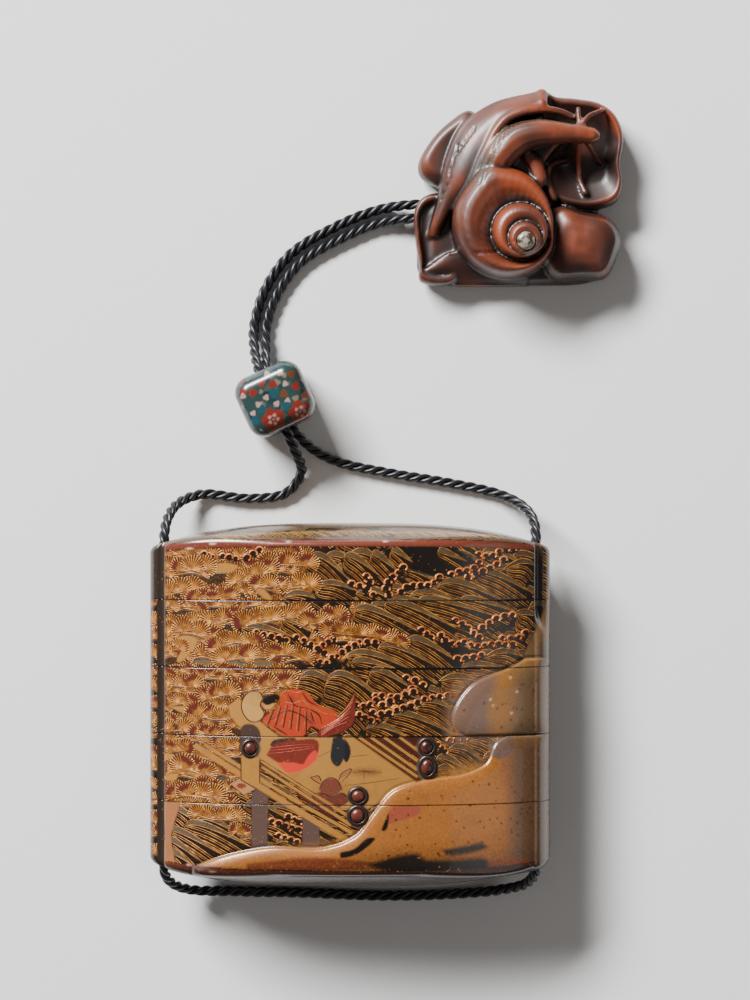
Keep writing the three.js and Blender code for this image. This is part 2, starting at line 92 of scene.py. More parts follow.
softbox("key", (-0.83, 1.03, 0.94), (0.0, 0.03, 0.0), (0.8, 0.34), 88.0)
softbox("fill", (0.6, -0.25, 0.75), (0.0, 0.03, 0.0), (0.6, 0.6), 0.8)
sky = bpy.data.worlds.new("studio")
bpy.context.scene.world = sky
sky_shader = shader_of(sky, "BACKGROUND")
sky_shader.inputs["Color"].default_value = (1.0, 0.93, 0.89, 1)
sky_shader.inputs["Strength"].default_value = 0.15

# ---------------------------------------------------------------- Cord
# One black silk cord of three strands laid left-handed. Both of its ends are inside the
# toggle; it runs through the bead, down one side of the case, under it and up again.
CORD_THICK = 2.2
CORD_LAY = 7.0            # length of one turn of the strands
FLOOR_LINE = 1.15         # height of the cord's middle where it lies on the table
MID_Z = 12.4              # middle plane of the case
RUNNER_X = 37.2           # middle of the cord's channel at each side of the case
BEAD = {"x": -15.1, "y": 61.1, "z": 7.1, "across": 14.2, "along": 12.8, "turn": 0.431}

left_strand = [
    (18, 100.6, 3.1), (13, 100.9, 3), (5, 99.8, 1.3), (-4, 96.1, FLOOR_LINE),
    (-12.2, 91, FLOOR_LINE), (-17.4, 83.8, FLOOR_LINE), (-19.7, 76, 1.6), (-19.4, 70.8, 4.6),
]
left_fall = [
    (-11.2, 50.8, 6), (-10, 46.4, 2.2), (-13.2, 42.2, FLOOR_LINE), (-21, 41.1, FLOOR_LINE),
    (-30, 42, 1.4), (-34.8, 40.2, 4.8), (-36.8, 36.8, 9.4),
]
under_loop = [
    (-36.2, -36, 8.8), (-32.4, -38.3, 4), (-24, -39, 1.2), (-10, -39.3, FLOOR_LINE),
    (6, -39.9, FLOOR_LINE), (20, -39.6, FLOOR_LINE), (30.2, -38.5, 3), (35.6, -36.4, 8),
]
right_rise = [
    (36.8, 36.8, 9.4), (34.6, 39.8, 4.8), (29.6, 42.2, 1.4), (19.9, 44.3, FLOOR_LINE),
    (8, 46.3, FLOOR_LINE), (-2.2, 48.5, 1.4), (-8.2, 51.6, 3.6),
]
right_strand = [
    (-17.2, 71.2, 2.8), (-17.1, 76.4, FLOOR_LINE), (-14.9, 82.8, FLOOR_LINE), (-10.2, 89.2, FLOOR_LINE),
    (-2.8, 93.7, FLOOR_LINE), (5.7, 97.2, 1.3), (13, 98.1, 3), (18, 98.4, 3.1),
]


def bead_pass(side, outward):
    along = Vector((math.sin(BEAD["turn"]), -math.cos(BEAD["turn"]), 0))
    across = Vector((math.cos(BEAD["turn"]), math.sin(BEAD["turn"]), 0))
    middle = Vector((BEAD["x"], BEAD["y"], BEAD["z"] - side * 0.97)) + across * side * 0.65
    return [middle + along * (end * outward * (BEAD["along"] / 2 - 0.6)) for end in (-1, 1)]


def channel_pass(x, heading):
    ends = [33 * heading, 27 * heading, -27 * heading, -33 * heading]
    return [(x, y, MID_Z if i % 3 else MID_Z - 0.3) for i, y in enumerate(ends)]


def smooth_line(stops, spacing):
    """Even points, spacing apart, on the centripetal spline through the stops."""
    stops = [Vector(p) for p in stops]
    stops = [stops[0] * 2 - stops[1], *stops, stops[-1] * 2 - stops[-2]]
    fine = []
    for a, b, c, d in zip(stops, stops[1:], stops[2:], stops[3:]):
        gaps = [max((q - p).length ** 0.5, 1e-4) for p, q in ((a, b), (b, c), (c, d))]
        leave = ((b - a) / gaps[0] - (c - a) / (gaps[0] + gaps[1]) + (c - b) / gaps[1]) * gaps[1]
        arrive = ((c - b) / gaps[1] - (d - b) / (gaps[1] + gaps[2]) + (d - c) / gaps[2]) * gaps[1]
        for t in np.linspace(0, 1, 24, endpoint=False):
            fine.append(b * (2 * t**3 - 3 * t**2 + 1) + c * (3 * t**2 - 2 * t**3)
                        + leave * (t**3 - 2 * t**2 + t) + arrive * (t**3 - t**2))
    fine = np.array([*fine, stops[-2]])
    run = np.concatenate([[0], np.cumsum(np.linalg.norm(np.diff(fine, axis=0), axis=1))])
    marks = np.linspace(0, run[-1], max(2, round(run[-1] / spacing)) + 1)
    return np.stack([np.interp(marks, run, fine[:, k]) for k in range(3)], axis=1)


def frames_along(line):
    """Two cross directions at each point of a line, carried along without twist."""
    tangents = np.gradient(line, axis=0)
    tangents /= np.linalg.norm(tangents, axis=1)[:, None]
    side = np.cross(tangents[0], (0, 0, 1) if abs(tangents[0][2]) < 0.9 else (1, 0, 0))
    sides = []
    for tangent in tangents:
        side = side - tangent * side.dot(tangent)
        side = side / np.linalg.norm(side)
        sides.append(side)
    return np.array(sides), np.cross(tangents, sides)


def rods(lines, radii, resolution=2):
    """Round rods along lines, in one bmesh; radii holds one number or a list for each line."""
    curve = bpy.data.curves.new("rods", "CURVE")
    curve.dimensions = "3D"
    curve.bevel_depth = 1
    curve.bevel_resolution = resolution
    curve.use_fill_caps = True
    for line, radius in zip(lines, radii):
        spline = curve.splines.new("POLY")
        spline.points.add(len(line) - 1)
        spline.points.foreach_set("co", np.column_stack([line, np.ones(len(line))]).ravel())
        spline.points.foreach_set("radius", np.broadcast_to(radius, len(line)).astype(float))
    holder = bpy.data.objects.new("rods", curve)
    mesh = bpy.data.meshes.new_from_object(holder)
    bm = bmesh.new()
    bm.from_mesh(mesh)
    bpy.data.objects.remove(holder)
    bpy.data.curves.remove(curve)
    bpy.data.meshes.remove(mesh)
    return bm


def piece_of(name, bm, material, smooth=True):
    """Finishes a mesh in millimetres as a piece in metres that rides with the set."""
    bmesh.ops.recalc_face_normals(bm, faces=bm.faces)
    bmesh.ops.scale(bm, vec=(MM, MM, MM), verts=bm.verts)
    mesh = bpy.data.meshes.new(name)
    bm.to_mesh(mesh)
    bm.free()
    mesh.polygons.foreach_set("use_smooth", [smooth] * len(mesh.polygons))
    mesh.materials.append(material)
    piece = bpy.data.objects.new(name, mesh)
    bpy.context.collection.objects.link(piece)
    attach(piece, "root")
    return piece


class Feed:
    """One output in a material's node tree, so that shader maths reads as maths."""

    def __init__(self, finish, socket):
        self.finish, self.socket = finish, socket

    def math(self, operation, *values):
        return self.finish.math(operation, self, *values)

    def __add__(self, other):
        return self.math("ADD", other)

    def __sub__(self, other):
        return self.math("SUBTRACT", other)

    def __mul__(self, other):
        return self.math("MULTIPLY", other)

    def __truediv__(self, other):
        return self.math("DIVIDE", other)

    def __rsub__(self, other):
        return self.finish.math("SUBTRACT", other, self)

    __radd__, __rmul__ = __add__, __mul__

    def between(self, low, high):
        """0 below low, 1 above high, with a soft step from one to the other."""
        return self.finish.node(
            "ShaderNodeMapRange", {"interpolation_type": "SMOOTHSTEP"},
            {"Value": self, "From Min": low, "From Max": high},
        )


class Finish:
    """A node material with one principled shader."""

    def __init__(self, name, **constants):
        self.material = bpy.data.materials.new(name)
        self.shader = shader_of(self.material, "BSDF_PRINCIPLED")
        for socket, value in constants.items():
            self.shader.inputs[socket.replace("_", " ")].default_value = value

    def node(self, kind, settings, sockets, out=0):
        made = self.material.node_tree.nodes.new(kind)
        for name, value in settings.items():
            if name == "stops":
                for element, (place, colour) in zip(made.color_ramp.elements, value):
                    element.position, element.color = place, colour
            else:
                setattr(made, name, value)
        for name, value in sockets.items():
            if isinstance(value, Feed):
                self.material.node_tree.links.new(value.socket, made.inputs[name])
            else:
                made.inputs[name].default_value = value
        return Feed(self, made.outputs[out])

    def math(self, operation, *values):
        return self.node("ShaderNodeMath", {"operation": operation}, dict(enumerate(values)))

    def mix(self, share, low, high):
        return self.node("ShaderNodeMix", {"data_type": "RGBA"}, {0: share, 6: low, 7: high}, out=2)

    def place(self, stretch=(1, 1, 1)):
        object_place = self.node("ShaderNodeTexCoord", {}, {}, out="Object")
        return self.node("ShaderNodeMapping", {}, {"Vector": object_place, "Scale": stretch})

    def noise(self, scale, detail=2.0, stretch=(1, 1, 1), rough=0.5):
        sockets = {"Vector": self.place(stretch), "Scale": scale, "Detail": detail, "Roughness": rough}
        return self.node("ShaderNodeTexNoise", {}, sockets, out="Fac")

    def attribute(self, name, out="Color"):
        return self.node("ShaderNodeAttribute", {"attribute_name": name}, {}, out=out)

    def bump(self, height, distance, strength=1.0):
        sockets = {"Height": height, "Distance": distance, "Strength": strength}
        self.feed("Normal", self.node("ShaderNodeBump", {}, sockets))

    def feed(self, socket, value):
        self.material.node_tree.links.new(value.socket, self.shader.inputs[socket])


def rgb(red, green, blue):
    """A colour given in display values, as the shader takes it."""
    linear = [(c / 12.92) if c <= 0.04045 else ((c + 0.055) / 1.055) ** 2.4 for c in (red, green, blue)]
    return (*linear, 1)


silk = Finish("black_silk", Roughness=0.38, Sheen_Weight=0.06, Sheen_Roughness=0.4)
# Paler bluish flecks over the black silk: a painted sheen.
silk_sheen_flecks = silk.noise(900, 3)
silk.feed("Base Color", silk.mix(silk_sheen_flecks.between(0.35, 0.7), rgb(0.035, 0.038, 0.055), rgb(0.10, 0.105,
    0.135)))
silk.bump(silk.noise(2600, 2), 0.00004, 0.6)

route = smooth_line([
    *left_strand, *bead_pass(-1, 1), *left_fall, *channel_pass(-RUNNER_X, 1),
    *under_loop, *channel_pass(RUNNER_X, -1), *right_rise, *bead_pass(1, -1), *right_strand,
], 0.42)
route[:, 2] = np.maximum(route[:, 2], FLOOR_LINE)
cord_length = float(np.linalg.norm(np.diff(route, axis=0), axis=1).sum())
strand_radius = CORD_THICK / 2 / 2.155
route_side, route_up = frames_along(route)
run = np.arange(len(route)) * cord_length / (len(route) - 1)
strands = []
for start in (0, 1, 2):
    angle = -run / CORD_LAY * 2 * math.pi + start * 2 * math.pi / 3
    swing = np.cos(angle)[:, None] * route_side + np.sin(angle)[:, None] * route_up
    strands.append(route + swing * strand_radius * 1.155)
bm = rods(strands, [strand_radius] * 3)
cord = piece_of("silk_cord", bm, silk.material)
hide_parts("cord")

# ---------------------------------------------------------------- Case: shells of the lid and the four boxes
# Thin turned wood under many coats of lacquer. Each box has a sleeve that stands into
# the one above it, and rounded runners at both sides hold the channels for the cord.
FACE_SPAN, FACE_RISE, FACE_END = 39.75, 12.5, 36.6
CASE_PITCH, LID_SEAM = 13.33, 21.05
RIM_Y, RIM_DROOP, RIM_ROUND = 33.0, 1.3, 1.2
RIDGE_Y, RIDGE_FALL = 36.25, 3.84
SEAM_ROUND = 0.14
RELIEF = 0.9              # height of the raised hill and rock
FRONT_PITCH, BACK_PITCH, ROW_PITCH = 0.2, 0.5, 0.21
SEAMS = [LID_SEAM - CASE_PITCH * k for k in range(4)]
SLEEVE_UP, RECESS_UP, FLOOR_UP = 5, 5.3, 6.5      # above a piece's seams
LID_INSIDE, FOOT_INSIDE = 30.6, -31.4             # ends of the hollows under both domes
CHANNEL_RADIUS = 1.5


def face_depth(x):
    share = np.minimum(np.abs(x), FACE_END) / FACE_SPAN
    return FACE_RISE * np.sqrt(1 - share**2)


def depth_inside(x, y, outline):
    """How far each point lies inside an outline; negative outside it."""
    near, within = np.full(len(x), 1e9), np.zeros(len(x), bool)
    for (ax, ay), (bx, by) in zip(outline, np.roll(outline, -1, axis=0)):
        dx, dy = bx - ax, by - ay
        along = np.clip(((x - ax) * dx + (y - ay) * dy) / (dx * dx + dy * dy + 1e-9), 0, 1)
        near = np.minimum(near, np.hypot(x - ax - along * dx, y - ay - along * dy))
        if ay != by:
            within ^= ((ay > y) != (by > y)) & (x < dx * (y - ay) / dy + ax)
    return np.where(within, near, -near)


def soft_line(stops, spacing=0.25):
    """A smooth flat line through [x, y] stops."""
    return smooth_line([(x, y, 0) for x, y in stops], spacing)[:, :2]


def step(value, low, high):
    share = np.clip((value - low) / (high - low), 0, 1)
    return share * share * (3 - 2 * share)


hill_rim = soft_line([
    (-31, -31.6), (-24.7, -29.1), (-15.5, -27.2), (-5, -27.2), (1.2, -24.8), (4.6, -20.6),
    (8.4, -16.1), (15, -14.1), (22.5, -13), (27, -10.8), (28.6, -7.2), (31, -5.6),
], 0.8)
hill_area = np.array([*hill_rim, (45, -5.6), (45, -40), (-31, -40)])
rock_rim = soft_line([
    (34.8, 9.4), (31.5, 7.7), (27.9, 6.4), (24, 4.4), (21.3, 1.2), (20.2, -2), (21.2, -4.3), (23, -5.6),
], 0.8)
rock_area = np.array([*rock_rim, (45, -5.6), (45, 9.4)])


def relief(x, y):
    """Height of the raised hill and rock above the face."""
    height = np.zeros(len(x))
    for outline, shoulder in ((hill_area, 2.9), (rock_area, 4.2)):
        near = np.flatnonzero((y < outline[:, 1].max() + 0.6) & (x > outline[:, 0].min() - 0.6))
        inside = depth_inside(x[near], y[near], outline)
        share = np.clip(inside / shoulder, 0, 1)
        swell = RELIEF * (0.25 * step(inside, 0, 0.35) + 0.75 * (1 - (1 - share) ** 2))
        height[near] = np.maximum(height[near], swell) - 0.16 * step(0.5 - np.abs(inside + 0.25), 0, 0.5)
    return height * step(40 - x, 0, 3.2)


def even_points(stops, spacing=None, count=None):
    line = smooth_line([(x, 0, z) for x, z in stops], 0.02)
    run = np.concatenate([[0], np.cumsum(np.linalg.norm(np.diff(line, axis=0), axis=1))])
    marks = np.linspace(0, run[-1], count or round(run[-1] / spacing))
    return np.column_stack([np.interp(marks, run, line[:, 0]), np.interp(marks, run, line[:, 2])])


# Cross-section from the left runner's tip over the front and back along the back. On the
# right the raised landscape fills the groove beside the runner.
panel_end = float(face_depth(FACE_END))
grooved = even_points([
    (FACE_END, panel_end), (36.75, panel_end - 0.25), (36.8, 3.9), (36.88, 3.0), (37.2, 2.55), (37.8, 2.45),
    (38.4, 2.5), (38.9, 2.2), (39.4, 1.7), (39.8, 0.95), (40, 0),
], count=26)
filled = even_points([
    (FACE_END, panel_end), (37.1, 4.7), (37.8, 4.3), (38.5, 3.7), (39.2, 2.8), (39.75, 1.6), (40, 0),
], count=26)
angles = np.linspace(-1, 1, 401) * math.asin(FACE_END / FACE_SPAN)
face = [(FACE_SPAN * math.sin(a), FACE_RISE * math.cos(a)) for a in angles]
front_face = even_points(face[::8], spacing=FRONT_PITCH)
back_face = even_points(face[::8], spacing=BACK_PITCH)[::-1] * (1, -1)
back_face[:, 1] = np.maximum(back_face[:, 1], -MID_Z)


def section(right):
    flip_x, flip_z = np.array([-1, 1]), np.array([1, -1])
    return np.concatenate([
        (grooved * flip_x)[::-1], front_face[1:-1], right, (grooved * flip_z)[::-1][1:],
        back_face[1:-1], grooved * -1,
    ])


SECTION, FILLED_SECTION = section(grooved), section(filled)


def dome_height(x, z, inset):
    """Height of the lid's end above its rim, for rings drawn in by inset."""
    rim = RIM_Y - RIM_DROOP * (np.abs(x) / FACE_END) ** 5
    ridge = RIDGE_Y - RIDGE_FALL * (np.abs(x) / 37) ** 3
    share = np.minimum(1, np.abs(z) / (FACE_RISE - RIM_ROUND))
    left = np.maximum(0, RIM_ROUND - inset)
    return rim + (ridge - rim) * (1 - share**2) - (RIM_ROUND - np.sqrt(RIM_ROUND**2 - left**2))


def case_shell(low, high, end):
    """One hollow piece between two seams; end is 1 for the lid's dome, -1 for the bottom's."""
    columns = len(SECTION) - 1
    count = round((high - low) / ROW_PITCH)
    shares = np.linspace(0, 1, count + 1)
    rounded = [0, 0.03, 0.08]
    wall = np.unique([*(s / (high - low) for s in rounded), *shares[1:-1],
                      *(1 - s / (high - low) for s in rounded)])
    insets = np.zeros(len(wall))
    if end:
        round_over = [RIM_ROUND * (1 - math.cos(math.radians(a))) for a in range(10, 91, 10)]
        insets = np.array([*insets, *round_over, *np.arange(1.65, 12.4, 0.45), FACE_RISE])
    rows = len(insets) - 1

    bm = bmesh.new()
    bmesh.ops.create_grid(bm, x_segments=columns, y_segments=rows, size=0.5)
    place = np.array([v.co[:2] for v in bm.verts]) + 0.5
    i, j = np.rint(place * (columns, rows)).astype(int).T
    inset = insets[j]
    side = -1 if end < 0 else 1
    share = wall[np.minimum(j, len(wall) - 1)]
    seam = low if end >= 0 else -high
    (x, z), (x_filled, z_filled) = SECTION[i].T, FILLED_SECTION[i].T
    if end:
        top = dome_height(x, z, np.zeros(len(x)))
        y = seam + (top - seam) * share
        past = j >= len(wall)
        scaled = 1 - inset / 40, 1 - inset / FACE_RISE
        y[past] = dome_height(x * scaled[0], z * scaled[1], inset)[past]
        to_seam = y - seam
    else:
        y = low + (high - low) * share
        to_seam = np.minimum(y - low, high - y)
    y = y * side
    fill = step(20 - y, 0, 6)
    x, z = x + (x_filled - x) * fill, z + (z_filled - z) * fill
    left = np.clip(SEAM_ROUND - to_seam, 0, SEAM_ROUND)
    edge = SEAM_ROUND - np.sqrt(SEAM_ROUND**2 - left**2)
    x, z = x * (1 - (inset + edge) / 40), z * (1 - (inset + edge) / FACE_RISE)
    front = z > 0.5
    lift = relief(x, y) * step(RIM_ROUND - inset, 0, RIM_ROUND) * step(SEAM_ROUND - edge, 0, 0.05)
    z = np.where(front, z + lift * step(z, 0.5, 3.5), z) + MID_Z
    for vert, co in zip(bm.verts, np.column_stack([x, y, z])):
        vert.co = co
    bmesh.ops.remove_doubles(bm, verts=bm.verts, dist=1e-4)

    # Inside: a sleeve and a hollow above the upper seam, a recess under the lower one.
    def rim_of(seam_y):
        return [e for e in bm.edges if e.is_boundary and abs(e.verts[0].co.y - seam_y) < 0.01]

    def draw_in(edges, scale=(1, 1), rise=0):
        grown = bmesh.ops.extrude_edge_only(bm, edges=edges)["geom"]
        verts = [g for g in grown if isinstance(g, bmesh.types.BMVert)]
        middle = Matrix.Translation((0, 0, -MID_Z))
        bmesh.ops.scale(bm, vec=(scale[0], 1, scale[1]), space=middle, verts=verts)
        bmesh.ops.translate(bm, vec=(0, rise, 0), verts=verts)
        return [g for g in grown if isinstance(g, bmesh.types.BMEdge)]

    if end <= 0:
        sleeve = draw_in(rim_of(high), (0.87, 0.868))
        sleeve_top = draw_in(sleeve, rise=SLEEVE_UP)
        hollow = draw_in(draw_in(sleeve_top, (0.974, 0.92)), rise=(low + FLOOR_UP if end == 0
            else FOOT_INSIDE) - high - SLEEVE_UP)
        bmesh.ops.contextual_create(bm, geom=hollow)
    if end >= 0:
        recess = draw_in(draw_in(rim_of(low), (0.878, 0.896)), rise=RECESS_UP if end == 0 else LID_INSIDE
                         - low)
        bmesh.ops.contextual_create(bm, geom=recess)
    return bm


def drilled(bm, holes):
    """Drills round holes, given as [matrix, radius, length] with each along its matrix's Z."""
    drill = bmesh.new()
    for turn, radius, length in holes:
        bmesh.ops.create_cone(drill, cap_ends=True, segments=28, radius1=radius, radius2=radius,
                              depth=length, matrix=turn)
    blanks = []
    for shape in (bm, drill):
        bmesh.ops.recalc_face_normals(shape, faces=shape.faces)
        mesh = bpy.data.meshes.new("blank")
        shape.to_mesh(mesh)
        shape.free()
        blanks.append(bpy.data.objects.new("blank", mesh))
        bpy.context.collection.objects.link(blanks[-1])
    body, tool = blanks
    cut = body.modifiers.new("channels", "BOOLEAN")
    cut.operation, cut.solver, cut.object = "DIFFERENCE", "MANIFOLD", tool
    done = bpy.data.meshes.new_from_object(body.evaluated_get(bpy.context.evaluated_depsgraph_get()))
    bm = bmesh.new()
    bm.from_mesh(done)
    for blank in blanks:
        mesh = blank.data
        bpy.data.objects.remove(blank)
        bpy.data.meshes.remove(mesh)
    bpy.data.meshes.remove(done)
    return bm


SHELLS = {
    "inro_lid": (LID_SEAM, 33, 1), "inro_case_1": (SEAMS[1], SEAMS[0], 0), "inro_case_2": (SEAMS[2],
        SEAMS[1], 0),
    "inro_case_3": (SEAMS[3], SEAMS[2], 0), "inro_case_4": (-33, SEAMS[3], -1),
}
lacquer = Finish("gold_and_black_lacquer", Coat_Weight=0.4, Coat_Roughness=0.07)
laid, sprinkled = lacquer.attribute("lacquer"), lacquer.attribute("gold", "Fac")
dust, clouds = lacquer.noise(2400, 2), lacquer.noise(160, 4)
tone = lacquer.mix(sprinkled * dust.between(0.42, 0.62) * 0.3, laid, rgb(0.75, 0.5, 0.22))
tone = lacquer.mix(clouds.between(0.5, 0.75) * sprinkled * 0.5, tone, rgb(0.42, 0.26, 0.13))
lacquer.feed("Base Color", lacquer.mix(lacquer.noise(1500, 2).between(0.66, 0.72) * 0.35, tone,
    rgb(0.62, 0.42, 0.2)))
lacquer.feed("Metallic", sprinkled * 0.35)
lacquer.feed("Roughness", 0.2 + sprinkled * 0.1 + clouds * 0.1)
lacquer.bump(lacquer.noise(500, 3) + sprinkled * dust, 0.00004, 0.5)
lying = Matrix.Rotation(math.pi / 2, 4, "X")
channels = [(Matrix.Translation((x, 0, MID_Z)) @ lying, CHANNEL_RADIUS, 90) for x in (-RUNNER_X, RUNNER_X)]
case_pieces = {}
for name, (low, high, end) in SHELLS.items():
    piece = piece_of(name.replace("inro", "lacquer"), drilled(case_shell(low, high, end), channels),
                     lacquer.material)
    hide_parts(name)
    case_pieces[name] = piece

# ---------------------------------------------------------------- Case: the lacquer picture
# Sprinkled gold and coloured lacquer: pines over breaking waves, a bridge with a robed
# figure and a turtle, and a gold hillside. Broad areas are laid flat, lines are raised.
def hexed(code):
    return np.array(rgb(*(int(code[k:k + 2], 16) / 255 for k in (0, 2, 4)))[:3])


BLACK, GROUND_BROWN = hexed("15110e"), hexed("2e1f14")
GOLD, OLIVE = hexed("b5853f"), hexed("5c553f")
PURPLE, CINNABAR, CRIMSON = hexed("57261f"), hexed("ad3a22"), hexed("cf3b30")
PEWTER, SLATE = hexed("80756c"), hexed("544440")


class Picture:
    """Shapes and lines on the face, the front ones first; each hides what comes later."""

    def __init__(self):
        self.shapes, self.lines = [], []
        self.layer = 0

    def shape(self, stops, colour, gold=0.0, hides=True, smooth=True, soft=0.12):
        self.layer += 1
        outline = soft_line([*stops, stops[0]], 0.5)[:-1] if smooth else np.array(stops, float)
        self.shapes.append((self.layer, outline, colour, gold, hides, soft))

    def line(self, kind, stops, width, taper=(0.5, 1, 0.4), spacing=0.25):
        self.layer += 1
        line = soft_line(stops, spacing) if len(stops) > 2 else np.linspace(*np.array(stops, float), 6)
        share = np.linspace(0, 1, len(line))
        self.lines.append((self.layer, kind, line, np.interp(share, (0, 0.5, 1), taper) * width / 2))

    def shown(self):
        """Every line's uncovered stretches, parted at the seams, by kind."""
        points = np.concatenate([line for _, _, line, _ in self.lines])
        layers = np.concatenate([np.full(len(line), layer) for layer, _, line, _ in self.lines])
        hidden = (points[:, 0] > 39.6) | (points[:, 0] < -39.6)
        hidden |= np.abs(points[:, 1]) > 31.7 - 0.9 * np.abs(points[:, 0] / FACE_END) ** 4
        hidden |= (points[:, 0] < -36.5) & ((points[:, 0] > -38.4) | (points[:, 1] > SEAMS[0]))
        hidden |= (points[:, 0] > 36.5) & (points[:, 0] < 38.3) & (points[:, 1] > 2)
        for seam in SEAMS:
            hidden |= np.abs(points[:, 1] - seam) < 0.17
        for layer, outline, _, _, hides, _ in self.shapes:
            if not hides:
                continue
            (left, low), (right, high) = outline.min(axis=0), outline.max(axis=0)
            near = np.flatnonzero(
                (layers > layer) & ~hidden & (points[:, 0] > left) & (points[:, 0] < right)
                & (points[:, 1] > low) & (points[:, 1] < high))
            if len(near):
                hidden[near] = depth_inside(*points[near].T, outline) > -0.05
        runs, start = {}, 0
        for _, kind, line, widths in self.lines:
            seen = ~hidden[start:start + len(line)]
            start += len(line)
            for stretch in np.split(np.arange(len(line)), np.flatnonzero(np.diff(seen.astype(int))) + 1):
                if seen[stretch[0]] and len(stretch) > 1:
                    runs.setdefault(kind, []).append((line[stretch], widths[stretch]))
        return runs

    def paint(self, x, y):
        """Colour and gold at points of the face."""
        tint, gold = np.tile(BLACK, (len(x), 1)), np.zeros(len(x))
        for _, outline, colour, shine, _, soft in reversed(self.shapes):
            (left, low), (right, high) = outline.min(axis=0) - soft, outline.max(axis=0) + soft
            near = np.flatnonzero((x > left) & (x < right) & (y > low) & (y < high))
            if len(near):
                share = step(depth_inside(x[near], y[near], outline), -soft, soft)
                tint[near] += (colour - tint[near]) * share[:, None]
                gold[near] += (shine - gold[near]) * share
        return tint, gold


picture = Picture()
chance = random.Random(11)


def disc(x, y, across, up=None, count=14):
    turns = [2 * math.pi * k / count for k in range(count)]
    return [(x + across * math.cos(a), y + (up or across) * math.sin(a)) for a in turns]


# Hill and rock: worn gold with dark flecks, silvery where the edge is rubbed. At the right they turn
# grey-brown: painted shade, with a painted reflection on the runner.
for _ in range(150):
    fleck_x = chance.uniform(3, 37)
    fleck_y = chance.uniform(-29, -13.5) if chance.random() < 0.62 else chance.uniform(-5, 7)
    if fleck_y < -13 and fleck_x < 6 and fleck_y > -25:
        continue
    size = chance.uniform(0.12, 0.3)
    if depth_inside(np.array([fleck_x]), np.array([fleck_y]), hill_area if fleck_y < -6
                    else rock_area)[0] > 1.2:
        picture.shape(disc(fleck_x, fleck_y, size, count=7), hexed("5a2a1c"), 0.1, hides=False,
                      smooth=False)
for x, y in ((31.7, 5.8), (27.7, 1.6), (28.2, 0.4), (31.9, -1.2), (33, 3)):
    picture.shape(disc(x, y, 0.3, count=8), hexed("d8bc86"), 0.7, hides=False, smooth=False)
picture.shape([(7.8, -20), (7.3, -23.5), (6.3, -23.9), (6.9, -21.9)], BLACK, hides=False)
picture.shape([(7.6, -22.6), (9.6, -22), (13.6, -20.6), (14.2, -19.5), (8.2, -19.3)], hexed("a8604e"),
              0.15, hides=False)
picture.shape([(-1.8, -28), (0.9, -27.3), (3.6, -25.2), (5.1, -25.2), (3.6, -26.9), (0.9, -28.6),
               (-1.8, -29)],
              BLACK, hides=False)
picture.shape([(27.4, -6), (32.4, -5.9), (31.9, -8.9), (29.3, -10.2), (27.4, -8.7)], PEWTER * 0.7, 0.1,
              hides=False)
picture.shape([(18.2, -27.7), (22.9, -26.9), (26, -26.5), (27.1, -27.4), (24, -28.4), (19.1, -28.8)],
              hexed("2c2418"), hides=False, soft=0.5)
picture.shape([(3.6, -30.4), (8.6, -28.8), (13.5, -28.3), (14.6, -29.3), (20, -29.6), (27, -29.8),
               (27, -31.4),
               (6.4, -31.6)], hexed("221a14"), hides=False, soft=0.7)
picture.shape([(-20, -30.4), (-8, -29), (2, -29.6), (8, -30.6), (2, -31.4), (-20, -31.6)], hexed("6e3b20"),
              0.2, hides=False, soft=0.5)
picture.shape([(14, -31), (24, -30.5), (33, -29.8), (36, -30.6), (24, -31.6)], hexed("9a5128"), 0.3,
              hides=False, soft=0.4)
# Painted shade: the right of the face is laid grey-brown where it turns away from the light.
picture.shape([(31.5, -38), (31.5, -6), (32.5, 8), (45, 9), (45, -38)], hexed("6e5c44"), 0.25, hides=False,
              smooth=False, soft=2.2)
# Painted reflection: the outer edge of the right runner is laid grey, as if it mirrored the table.
picture.shape([(37.6, -38), (37.6, 12), (45, 12), (45, -38)], hexed("57504a"), 0.1, hides=False,
              smooth=False, soft=1.4)
picture.shape([(19, -7), (20, 4), (25, 6.6), (29, 6.4), (27.5, 0), (27, -6)], hexed("6d5a50"), 0.1,
              hides=False, soft=1.6)
picture.shape(rock_area, hexed("9a6f38"), 0.5, smooth=False)
picture.shape([(36, -20), (26, -12), (8, -19), (2, -26), (-14, -29), (-8, -31), (10, -27), (30, -24)],
              hexed("b98440"), 0.6, hides=False, soft=2.5)
picture.shape(hill_area, hexed("a5722f"), 0.55, smooth=False)
# Painted shade: where the hill wraps onto the right runner it is laid a dull grey-brown.
picture.shape([(39.3, 21.2), (38.2, 17.9), (36.5, 14.2), (34.7, 10.6), (34.4, 7), (45, 5), (45, 21.2)],
              hexed("7b6444"), 0.3, soft=0.3)

# Bridge posts: gold above the rails, grey-brown below them, with raised caps.
caps = [(-19.4, -7.9, 1.55, 1.6), (1.7, -17.1, 1.65, 1.55), (1.6, -20.9, 1.7, 1.75), (15.1, -7.6, 1.5, 1.6),
        (15.2, -11.5, 1.55, 1.95)]
for x, y, across, up in caps:
    picture.shape(disc(x, y, across * 1.35, up * 1.3), PEWTER * 0.35, 0.1, soft=0.3)
picture.shape([(-21.3, -3.9), (-20.6, -3.2), (-18.9, -3.2), (-17.7, -4.2), (-17.5, -6.8), (-21.3, -6.8)],
              SLATE * 0.6)
for ends in (((-21.3, -10.2), (-21.3, -14.2)), ((-17.6, -10.2), (-17.6, -14.6)), ((-21.3, -14.1),
    (-18.3, -15.8)),
             ((-23.6, -14.9), (-20.8, -17.2)), ((-20.8, -17.2), (-18.2, -15.8)), ((-23.6, -14.9),
                 (-21.5, -13.7))):
    picture.line("dark", ends, 0.22, (1, 1, 1))
picture.shape(disc(-21.2, -15.3, 1.0, 0.55, 8), hexed("74382a"), hides=False)
